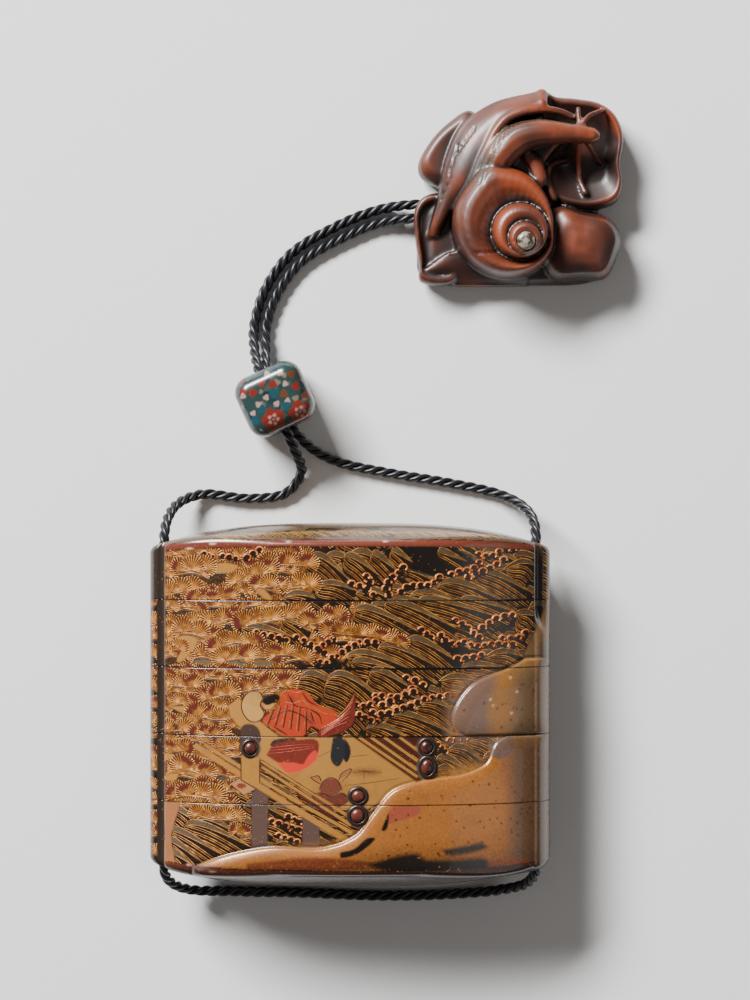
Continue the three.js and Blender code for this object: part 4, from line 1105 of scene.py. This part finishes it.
line_finishes = {
    "gold": line_finish("line_gold", rgb(0.50, 0.29, 0.10), rgb(0.74, 0.50, 0.21), 0.3, 0.42),
    "pale": line_finish("tip_gold", rgb(0.66, 0.48, 0.25), rgb(0.84, 0.68, 0.42), 0.2, 0.45),
    "foam": line_finish("foam_gold", rgb(0.56, 0.28, 0.13), rgb(0.80, 0.50, 0.25), 0.3, 0.42),
    "dark": line_finish("line_brown", rgb(0.10, 0.06, 0.035), rgb(0.22, 0.12, 0.07), 0.0, 0.45),
    "red": line_finish("line_red", rgb(0.5, 0.16, 0.10), rgb(0.66, 0.25, 0.15), 0.1, 0.4),
}
for canvas, side in ((picture, 1), (back_picture, -1)):
    for kind, runs in canvas.shown().items():
        lines = [np.column_stack([line, np.zeros(len(line))]) for line, _ in runs]
        bm = rods(lines, [width for _, width in runs], resolution=0)
        co = np.array([v.co for v in bm.verts])
        rise = co[:, 2] * (0.3 if kind == "dark" else 0.6)
        if side > 0:
            height = MID_Z + drape(co[:, 0]) + relief(co[:, 0], co[:, 1]) + rise
        else:
            height = np.maximum(0.005, MID_Z - drape(co[:, 0]) + rise)
        for vert, z in zip(bm.verts, height):
            vert.co.z = z
        piece = piece_of(("picture_" if side > 0 else "back_picture_") + kind, bm, line_finishes[kind])

# Caps of the bridge posts: small turned knobs let into the lacquer, each in a raised ring.
def lathe(profile, places, turns=20):
    """Turns one [radius, height] profile and sets it at every [x, y, across, up]."""
    bm = bmesh.new()
    for x, y, across, up in places:
        verts = [bm.verts.new((r, 0, h)) for r, h in profile]
        edges = [bm.edges.new(pair) for pair in zip(verts, verts[1:])]
        made = bmesh.ops.spin(
            bm, geom=verts + edges, cent=(0, 0, 0), axis=(0, 0, 1), angle=2 * math.pi, steps=turns,
            use_merge=True)
        ring = {v for v in bm.verts if v.tag is False}
        for vert in ring:
            lift = MID_Z + float(face_depth(x)) + float(relief(np.array([x]), np.array([y]))[0])
            vert.co = (x + vert.co.x * across, y + vert.co.y * up, lift + vert.co.z)
            vert.tag = True
    bmesh.ops.remove_doubles(bm, verts=bm.verts, dist=0.001)
    return bm


knob_lacquer = Finish("knob_lacquer", Roughness=0.28, Coat_Weight=0.4, Coat_Roughness=0.15)
knob_lacquer.feed(
    "Base Color", knob_lacquer.mix(knob_lacquer.noise(420, 2).between(0.35, 0.6), rgb(0.15, 0.06, 0.05),
                                   rgb(0.34, 0.15, 0.11)))
knobs = piece_of("post_knobs", lathe([(0, 0.85), (0.25, 0.82), (0.5, 0.7), (0.68, 0.5), (0.78, 0.2),
    (0.8, -0.3)], caps),
                 knob_lacquer.material)
ring_metal = Finish("ring_pewter", Metallic=0.7, Roughness=0.3)
ring_metal.feed("Base Color", ring_metal.mix(ring_metal.noise(600, 2), rgb(0.16, 0.13, 0.11),
    rgb(0.33, 0.29, 0.26)))
rings = piece_of("post_rings", lathe([(0.8, -0.3), (0.82, 0.18), (0.95, 0.32), (1.1, 0.26), (1.22, 0.05),
    (1.26, -0.3)], caps),
                 ring_metal.material)

# ---------------------------------------------------------------- Bead
# The sliding bead: glass with a mottled pattern of spots and blossoms, ground to a soft
# cushion and drilled through for the two strands.
bm = bmesh.new()
bmesh.ops.create_cube(bm, size=1)
bmesh.ops.subdivide_edges(bm, edges=bm.edges, cuts=70, use_grid_fill=True)
half, soft = np.array([BEAD["across"], BEAD["along"], BEAD["across"]]) / 2, 3.4
spots_at = np.array([v.co for v in bm.verts]) * 2 * half
core = np.clip(spots_at, -(half - soft), half - soft)
away = spots_at - core
away /= np.maximum(np.linalg.norm(away, axis=1), 1e-6)[:, None]
for vert, co in zip(bm.verts, core + away * soft):
    vert.co = co
set_down = Matrix.Translation((BEAD["x"], BEAD["y"], BEAD["z"])) @ Matrix.Rotation(BEAD["turn"], 4, "Z")
bmesh.ops.transform(bm, matrix=set_down, verts=bm.verts)
bm = drilled(bm, [(set_down @ lying, 2.8, 20)])

glass = Finish("bead_glass", Roughness=0.25, Coat_Weight=0.5, Coat_Roughness=0.06)
glass.feed("Base Color", glass.attribute("pattern"))
bead = piece_of("glass_bead", bm, glass.material)
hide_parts("ojime_bead")

spots = [("8c3026", 0.75, x, y) for x, y in ((-1.1, 3.9), (-3.4, 2.8), (-5.1, 3.7), (0.9, 2.7), (4.9, 0.4))]
spots += [("7a4128", 0.7, x, y) for x, y in ((5.1, 3), (2.1, 0), (5.9, -2))]
spots += [("c9a59a", 0.5, x, y) for x, y in (
    (3.2, 4.1), (3.2, 1.7), (0.7, 5.1), (-1.4, 0.8), (0, -1.2), (-3.4, 0.2), (-5.1, -1), (-5.5, 3),
    (2.2, -1.6))]
spots += [("1f5560", 0.8, x, y) for x, y in ((0.3, 1), (-3, -1.1), (-5.4, -2.4), (1.5, -2.3))]
co = np.empty(len(bead.data.vertices) * 3, np.float32)
bead.data.vertices.foreach_get("co", co)
turned = set_down.inverted()
local = co.reshape(-1, 3) / MM @ np.array(turned.to_3x3()).T + np.array(turned.translation)
pattern = np.tile(hexed("2c4a48"), (len(local), 1))
speckle = random.Random(5)


def dab(colour, size, centre, axes=(0, 1, 2), ragged=0.25):
    gap = np.linalg.norm(local[:, axes[:2]] - np.array(centre), axis=1)
    bearing = np.arctan2(local[:, axes[1]] - centre[1], local[:, axes[0]] - centre[0])
    reach = size * (1 + ragged * np.sin(bearing * 3 + centre[0] * 5) * 0.7)
    side = local[:, axes[2]] > 0.35 * half[axes[2]] if axes[2] == 2 else np.abs(local[:,
        axes[2]]) > 0.5 * half[axes[2]]
    share = step(reach - gap, -0.12, 0.12) * side
    pattern[:] += (hexed(colour) - pattern) * share[:, None]


for axes in ((0, 1, 2), (1, 2, 0), (0, 2, 1)):
    for _ in range(60):
        tone = speckle.choice(("35605a", "243d45", "4c5a4c", "6e2f28", "8a7a6c", "1c3038"))
        dab(tone, speckle.uniform(0.3, 0.8), (speckle.uniform(-6.5, 6.5), speckle.uniform(-6, 6)), axes)
for tone, size, x, y in spots:
    dab(tone, size * 1.1, (x, y))
    dab(tone, size, (y, x * 0.8), (1, 2, 0))
for x, y in ((-1.9, -3.8), (3.6, -4.6)):
    for k in range(5):
        bearing = 2 * math.pi * k / 5 + 0.3
        dab("8a2f22", 1.05, (x + 1.35 * math.cos(bearing), y + 1.35 * math.sin(bearing)), ragged=0.1)
    for k in range(5):
        bearing = 2 * math.pi * k / 5 + 0.3 + math.pi / 5
        dab("c98f84", 0.36, (x + 0.85 * math.cos(bearing), y + 0.85 * math.sin(bearing)), ragged=0.1)
    dab("4a2a20", 0.55, (x, y), ragged=0)
    dab("a8745c", 0.3, (x, y), ragged=0)
reflection_edge = np.sort(np.abs(local) / half, axis=1)[:, 1]
pattern *= 0.55
# Painted reflection: the bead's edges turn grey.
pattern += (hexed("47453f") - pattern) * (0.7 * step(reflection_edge, 0.84, 0.97))[:, None]
colours = np.column_stack([pattern, np.ones(len(pattern))]).astype(np.float32)
bead.data.color_attributes.new("pattern", "FLOAT_COLOR", "POINT").data.foreach_set("color", colours.ravel())

# ---------------------------------------------------------------- Toggle
# A snail on a folded leaf, carved from one block of boxwood and stained: rounded forms
# worked into each other, cut with grooves, and rubbed pale on the highest parts.
TOGGLE = np.array([34.0, 103.5, 0.0])


def loft(bm, rings):
    """Joins equal closed rings into one closed form."""
    rings = np.array(rings, float)
    rows, sides = rings.shape[:2]
    made = bmesh.ops.create_grid(bm, x_segments=sides, y_segments=rows - 1, size=0.5)["verts"]
    place = np.array([v.co[:2] for v in made]) + 0.5
    i, j = np.rint(place * (sides, rows - 1)).astype(int).T
    for vert, co in zip(made, rings[j, i % sides]):
        vert.co = co
    bmesh.ops.remove_doubles(bm, verts=made, dist=1e-5)
    ends = [e for e in bm.edges if e.is_boundary]
    bmesh.ops.holes_fill(bm, edges=ends)


def closed_line(stops, count):
    stops = np.array([(*p[:2], 0) for p in stops], float)
    line = smooth_line([*stops[-2:], *stops, *stops[:3]], 0.2)
    first = np.argmin(np.linalg.norm(line[:len(line) // 2] - stops[0], axis=1))
    last = len(line) // 2 + np.argmin(np.linalg.norm(line[len(line) // 2:] - stops[0], axis=1))
    loop = line[first:last]
    return loop[np.linspace(0, len(loop), count, endpoint=False).astype(int)]


def lobe(bm, plan, middle, profile, count=56):
    rim, hub = closed_line(plan, count), np.array([*middle[:2], 0])
    shares, heights = zip(*profile)
    marks = np.linspace(0, len(profile) - 1, 3 * len(profile))
    rings = []
    for mark in marks:
        share, z = np.interp(mark, range(len(profile)), shares), np.interp(mark, range(len(profile)),
            heights)
        rings.append(rim + (hub - rim) * share + (0, 0, z))
    loft(bm, rings)


def roll(bm, stops, sides=12):
    line = smooth_line([p[:3] for p in stops], 0.5)
    radii = np.interp(np.linspace(0, 1, len(line)), np.linspace(0, 1, len(stops)), [p[3] for p in stops])
    side, up = frames_along(line)
    turns = np.linspace(0, 2 * math.pi, sides, endpoint=False)
    rings = []
    for k, shrink, shift in ((0, 0.5, -0.8), *((k, 1, 0) for k in range(len(line))), (-1, 0.5, 0.8)):
        way = line[-1] - line[-2] if k == -1 else line[1] - line[0]
        centre = line[k] + way / np.linalg.norm(way) * radii[k] * shift
        rings.append([centre + (side[k] * math.cos(a) + up[k] * math.sin(a)) * radii[k] * shrink
                      for a in turns])
    loft(bm, rings)


def fold(bm, outer, inner, crest, count=40):
    outer, inner = smooth_line(outer, 0.4), smooth_line(inner, 0.4)
    rings = []
    for share in np.linspace(0, 1, count):
        a, b = outer[round(share * (len(outer) - 1))], inner[round(share * (len(inner) - 1))]
        ring = [a + (b - a) * t + (0, 0, crest * math.sin(math.pi * t) ** 0.7 + 0.5 * (t in (0, 1)))
                for t in
                (0, 0.08, 0.2, 0.35, 0.5, 0.65, 0.8, 0.92, 1)]
        rings.append([*ring, (b[0], b[1], 1), (a[0], a[1], 1.5)])
    loft(bm, rings)


bm = bmesh.new()
lobe(bm, [
    (-19.6, -17.6), (-20.4, -10), (-20.2, -3), (-15.8, -0.4), (-18, 5), (-13, 12.6), (-5, 16.8),
    (4.4, 19.4),
    (12, 17.6), (18.6, 15), (20.4, 9), (20, 2), (15.8, -3.6), (20, -8.5), (17.4, -17.2), (2, -19),
    (-9, -19),
], (0, -2), [(0, 0.02), (0, 2.6), (0.06, 4.4), (0.16, 5.2)])
lobe(bm, [
    (-10.4, 0), (-7, 8), (-3.4, 13.4), (3, 15.6), (9, 14.4), (11, 11.6), (8, 8.6), (5, 4), (4.6, 0),
    (5.4, -6),
    (2, -14), (-8, -12),
], (-1, 1), [(0, 3), (0.1, 8.8), (0.3, 9)])
lobe(bm, [
    (-15.4, 0.8), (-19.6, 2.7), (-20.3, 5.2), (-17.7, 10.2), (-13.7, 14.2), (-9.6, 16.4), (-7, 12),
    (-10, 4),
], (-13.6, 8), [(0, 1.5), (0, 4.6), (0.08, 6.4), (0.3, 7.2)])
fold(bm, [(3.8, 19.8, 7.4), (-5.4, 17.4, 7.4), (-11.6, 12.8, 7.4), (-14.7, 6, 7.4), (-16.1, -1.4, 7),
          (-17.6, -6.8, 6), (-18.4, -9.4, 4.6)],
     [(3.8, 15.9, 10.8), (-3.1, 13.6, 10.8), (-6.8, 7.8, 10.8), (-10.1, 1.4, 10), (-13.6, -3.9, 7.6),
      (-15.2, -6.9, 6.6), (-16.2, -9.6, 5)], 1.1)
lobe(bm, [
    (5.2, 20.2), (7.1, 19.1), (11.7, 18.6), (16.4, 17.7), (19.5, 15.5), (21.3, 11), (20.7, 5), (21.2, 1.3),
    (20.1, -2.1), (16.4, -3.7), (11.7, -3.7), (7.4, -2.1), (5, 4), (4, 12),
], (13.4, 7.6), [(0, 2), (0, 5.4), (0.03, 7), (0.1, 7.8), (0.2, 7), (0.42, 5.4), (0.8, 5)], 80)
lobe(bm, [
    (7.8, -2.9), (13, -4.2), (18.4, -5.4), (20.8, -9), (20.2, -13), (17.9, -17.6), (12.8, -18.1),
    (6.6, -17.8),
    (4, -12), (5, -7),
], (12.6, -11.4), [(0, 2), (0, 4.6), (0.05, 6.8), (0.18, 8.8), (0.45, 10), (0.8, 10.4)])
lobe(bm, [
    (-15.8, -0.6), (-19.2, -1.2), (-21, -4), (-20.8, -10.1), (-20, -15.6), (-20, -18.2), (-13, -18.6),
    (-12, -9),
    (-13, -4),
], (-16, -9), [(0, 2), (0, 5), (0.06, 6), (0.14, 6.2), (0.3, 4.8)])
fold(bm, [(-20, -18.2, 3.4), (-13, -19.2, 3.6), (-4, -19.3, 3.4), (2, -19.2, 3)],
     [(-18.6, -15.6, 5.2), (-13.4, -12.6, 6.6), (-6, -13, 6.6), (1, -15, 6)], 1.4)
for stops in (
    [(4.6, 19.2, 7.6, 1.3), (4.6, 16.8, 10, 1.1)],
    [(-9.6, 0.8, 10, 0.9), (-6.6, 7.8, 10.8, 0.9), (-2.8, 13.6, 10.8, 0.9), (3.4, 15.7, 10.4, 0.9),
     (8.2, 15.4, 9.4, 0.8), (11.2, 14.2, 9, 0.7)],
    [(-6.4, 2.6, 9, 3), (-3.9, 6.6, 10, 3.4), (-0.3, 9.8, 10.6, 3.3), (3.9, 10.9, 11, 2.9),
     (8.3, 10.9, 11, 2.5),
     (12, 10.7, 11, 1.9), (14.8, 10.4, 10.8, 1.6)],
    [(1, 7.6, 8.6, 1.4), (3.4, 4.6, 8.6, 1.6), (4.4, 1.6, 8.6, 1.6)],
    [(12.2, 12, 11.2, 0.6), (13.7, 14.2, 10.6, 0.55), (16.9, 15.9, 8.4, 0.5)],
    [(12, 12, 11.2, 0.6), (11.8, 16, 9.6, 0.55)],
    [(13.2, 9.6, 10, 0.6), (16.7, 5.4, 6, 0.5)],
    [(11.7, 9.4, 10.4, 0.75), (12.2, 4.6, 7, 0.65), (12.5, 1.6, 6.6, 0.65), (13.5, -0.8, 7.6, 0.7)],
    [(9.8, 6.2, 5.6, 0.5), (6.6, 4.9, 7, 0.7), (5.8, 2, 7.8, 0.7), (7.2, -2, 7.8, 0.7)],
):
    roll(bm, stops)
mouth_edge = closed_line([
    (6.9, -9), (6.4, -13), (3.1, -16.5), (-1.6, -17.9), (-7, -16.9), (-11.4, -13.4), (-13.4, -8),
    (-13, -3.6),
    (-10.6, 0.8), (-7, 5), (-3.4, 4.7), (1.4, 3), (5, -0.7), (6.6, -4.6),
], 72)
APEX = np.array([1.0, -11.2, 0])
bearing = np.arctan2(*(mouth_edge - APEX)[:, 1::-1].T)
rounds = [mouth_edge] + [
    np.array([x, y, 0]) + r * np.column_stack([np.cos(bearing), np.sin(bearing), bearing * 0])
    for x, y, r in ((0.1, -8.9, 5.6), (0.9, -10.5, 3.2), (1, -11.2, 1.8))]
rings = []
for inner, outer, profile in zip(rounds[1:], rounds, (
    [(0, 4), (0, 8.6), (0.03, 10.4), (0.08, 11.8), (0.16, 13), (0.28, 13.8), (0.42, 14.1), (0.6, 13.7),
     (0.75, 12.9),
     (0.9, 11.9), (0.98, 11.4)],
    [(0, 12.6), (0.08, 14.2), (0.25, 15.3), (0.5, 15.8), (0.75, 15.5), (0.95, 14.7)],
    [(0, 15.4), (0.2, 16.5), (0.5, 16.9), (0.9, 16.6)],
)):
    rings += [outer + (inner - outer) * share + (0, 0, z) for share, z in profile]
loft(bm, rings)
bmesh.ops.translate(bm, vec=TOGGLE, verts=bm.verts)
bmesh.ops.recalc_face_normals(bm, faces=bm.faces)

# Worked into one skin, and smoothed as a rubbed carving is.
block_mesh = bpy.data.meshes.new("block")
bm.to_mesh(block_mesh)
bm.free()
block = bpy.data.objects.new("block", block_mesh)
bpy.context.collection.objects.link(block)
skin = block.modifiers.new("skin", "REMESH")
skin.mode, skin.voxel_size = "VOXEL", 0.3
done = bpy.data.meshes.new_from_object(block.evaluated_get(bpy.context.evaluated_depsgraph_get()))
bm = bmesh.new()
bm.from_mesh(done)
bpy.data.objects.remove(block)
for mesh in (block_mesh, done):
    bpy.data.meshes.remove(mesh)
for _ in range(3):
    bmesh.ops.smooth_vert(bm, verts=bm.verts, factor=0.5, use_axis_x=True, use_axis_y=True, use_axis_z=True)
below = [v for v in bm.verts if v.co.z < 0.02]
for vert in below:
    vert.co.z = 0.02
bmesh.ops.dissolve_degenerate(bm, edges=bm.edges, dist=0.001)
sideways = Matrix.Rotation(math.pi / 2, 4, "Y")
flat = Matrix.Diagonal((1, 2, 1, 1))
bm = drilled(bm, [
    (Matrix.Translation(TOGGLE + (-18, -4, 3.1)) @ flat @ sideways, 1.6, 16),
    (Matrix.Translation(TOGGLE + (-11.6, -4, 1)), 2.0, 6),
    (Matrix.Translation(TOGGLE + (1, -11.2, 17.3)), 1.9, 2),
])

wood = Finish("stained_boxwood", Coat_Weight=0.25, Coat_Roughness=0.24)
grain = wood.noise(260, 4, (1, 0.25, 1))
worn = wood.mix(wood.noise(75, 4).between(0.42, 0.6) * 0.6, wood.attribute("stain_and_shade"), rgb(0.15, 0.075,
    0.055))
wood.feed("Base Color", wood.mix(grain.between(0.35, 0.7) * 0.35, worn, rgb(0.13, 0.06, 0.04)))
wood.feed("Roughness", 0.34 + grain * 0.2)
wood.bump(grain, 0.0002, 0.5)
toggle = piece_of("boxwood_toggle", bm, wood.material)
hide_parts("netsuke")

# Stain and painted shade: dark in the hollows, where stain gathers and painted shade deepens it,
# orange where handling has rubbed it, from how far each point stands out of the skin around it;
# darker along the cut grooves and cracks.
mesh = toggle.data
co = np.empty(len(mesh.vertices) * 3, np.float32)
mesh.vertices.foreach_get("co", co)
co = co.reshape(-1, 3).astype(float) / MM
normals = np.empty(len(co) * 3, np.float32)
mesh.vertex_normals.foreach_get("vector", normals)
normals = normals.reshape(-1, 3)
pairs = np.empty(len(mesh.edges) * 2, np.int32)
mesh.edges.foreach_get("vertices", pairs)
pairs = pairs.reshape(-1, 2)
links = np.maximum(np.bincount(pairs.ravel(), minlength=len(co)), 1)[:, None]


def spread(values, times):
    for _ in range(times):
        total = np.zeros_like(values)
        for column in range(values.shape[1]):
            total[:, column] = np.bincount(pairs[:, 0], values[pairs[:, 1], column], len(co))
            total[:, column] += np.bincount(pairs[:, 1], values[pairs[:, 0], column], len(co))
        values = values * 0.4 + total / links * 0.6
    return values


x, y, z = (co - TOGGLE).T
near, wide = spread(co, 8), spread(co, 60)
proud = ((co - near) * normals).sum(axis=1) * 5 + ((co - wide) * normals).sum(axis=1) * 1.3
carved = np.zeros(len(co))
groove_line = smooth_line([(-7.9, 1, 0), (-4.6, 8, 0), (-0.4, 12.9, 0), (6, 13.9, 0), (11, 13, 0)],
                          0.3)[:, :2]
groove_gap = np.min(np.hypot(x[:, None] - groove_line[::3, 0], y[:, None] - groove_line[::3, 1]), axis=1)
top = step(z, 5, 7) * (normals[:, 2] > 0.2)
carved -= 0.22 * step(1.2 - groove_gap, 0, 0.9) * (0.6 + 0.4 * np.sin(x * 5 + y * 4) * np.sin(x * 3
    - y * 6)) * top
growth = np.arctan2(y - APEX[1], x - APEX[0])
from_apex = np.hypot(x - APEX[0], y - APEX[1])
on_shell = (from_apex < 14) * step(z, 11, 12.5) * (y < 4.5) * (x < 7)
carved += 0.012 * np.sin(growth * 46 + from_apex * 1.5) * on_shell
for start, end in (((-14, 3), (-12.4, 8.5)), ((-15.6, -2), (-13.8, 2)), ((-9, -13.5), (-4.5, -13)),
                   ((-12.5, 7), (-9, 12))):
    crack = np.linspace(start, end, 24)
    gap = np.min(np.hypot(x[:, None] - crack[:, 0], y[:, None] - crack[:, 1] - 0.25 * np.sin(crack[:,
        0] * 9)), axis=1)
    carved -= 0.18 * step(0.4 - gap, 0, 0.3) * top
moved = co + normals * (carved * (z > 1))[:, None]
mesh.vertices.foreach_set("co", (moved * MM).astype(np.float32).ravel())
rub = step(proud + 0.08 * z - 0.55, -0.25, 0.9)
orange = step(np.sin(x * 0.31 + 1.2) * np.sin(y * 0.37 + x * 0.1 + 0.6) + 0.12 * z - 0.9, -0.5, 0.9)
warm = np.clip(rub * 0.5 + orange * 0.6 - 0.22, 0, 1)[:, None]
stain_and_shade = hexed("2a1612") * (1 - warm) + hexed("863c1d") * warm
# Stain gathered in the hollows, deepened by painted shade.
hollow = step(-proud, 0.05, 0.6)[:, None]
stain_and_shade = stain_and_shade * (1 - hollow * 0.9) + hexed("120b09") * hollow * 0.9
grime = (step(1.5 - groove_gap, 0, 0.8) * top)[:, None] * 0.55
stain_and_shade = stain_and_shade * (1 - grime) + hexed("4a4432") * grime
# Darker along the cut grooves and cracks.
stain_and_shade = stain_and_shade * (1 - 0.5 * step(-carved, 0.05, 0.2)[:, None])
colours = np.column_stack([stain_and_shade, np.ones(len(stain_and_shade))]).astype(np.float32)
mesh.color_attributes.new("stain_and_shade", "FLOAT_COLOR", "POINT").data.foreach_set("color", colours.ravel())

# The eye of the shell: a low disc of mottled shell let into the tip.
bm = bmesh.new()
profile = [(0, 0.7), (0.6, 0.66), (1.2, 0.5), (1.6, 0.28), (1.8, 0.1), (1.8, -0.45), (0, -0.45)]
verts = [bm.verts.new((r, 0, h)) for r, h in profile]
edges = [bm.edges.new(pair) for pair in zip(verts, verts[1:])]
bmesh.ops.spin(bm, geom=verts + edges, cent=(0, 0, 0), axis=(0, 0, 1), angle=2 * math.pi, steps=32,
               use_merge=True)
bmesh.ops.remove_doubles(bm, verts=bm.verts, dist=1e-4)
bmesh.ops.translate(bm, vec=TOGGLE + (1, -11.2, 16.9), verts=bm.verts)
pearl = Finish("mottled_shell", Roughness=0.3, Coat_Weight=0.5, Coat_Roughness=0.1)
pearl.feed("Base Color", pearl.mix(pearl.noise(900, 3).between(0.4, 0.62), rgb(0.55, 0.52, 0.46),
    rgb(0.2, 0.15, 0.12)))
eye = piece_of("shell_eye", bm, pearl.material)
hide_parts("netsuke_shell_inlay")
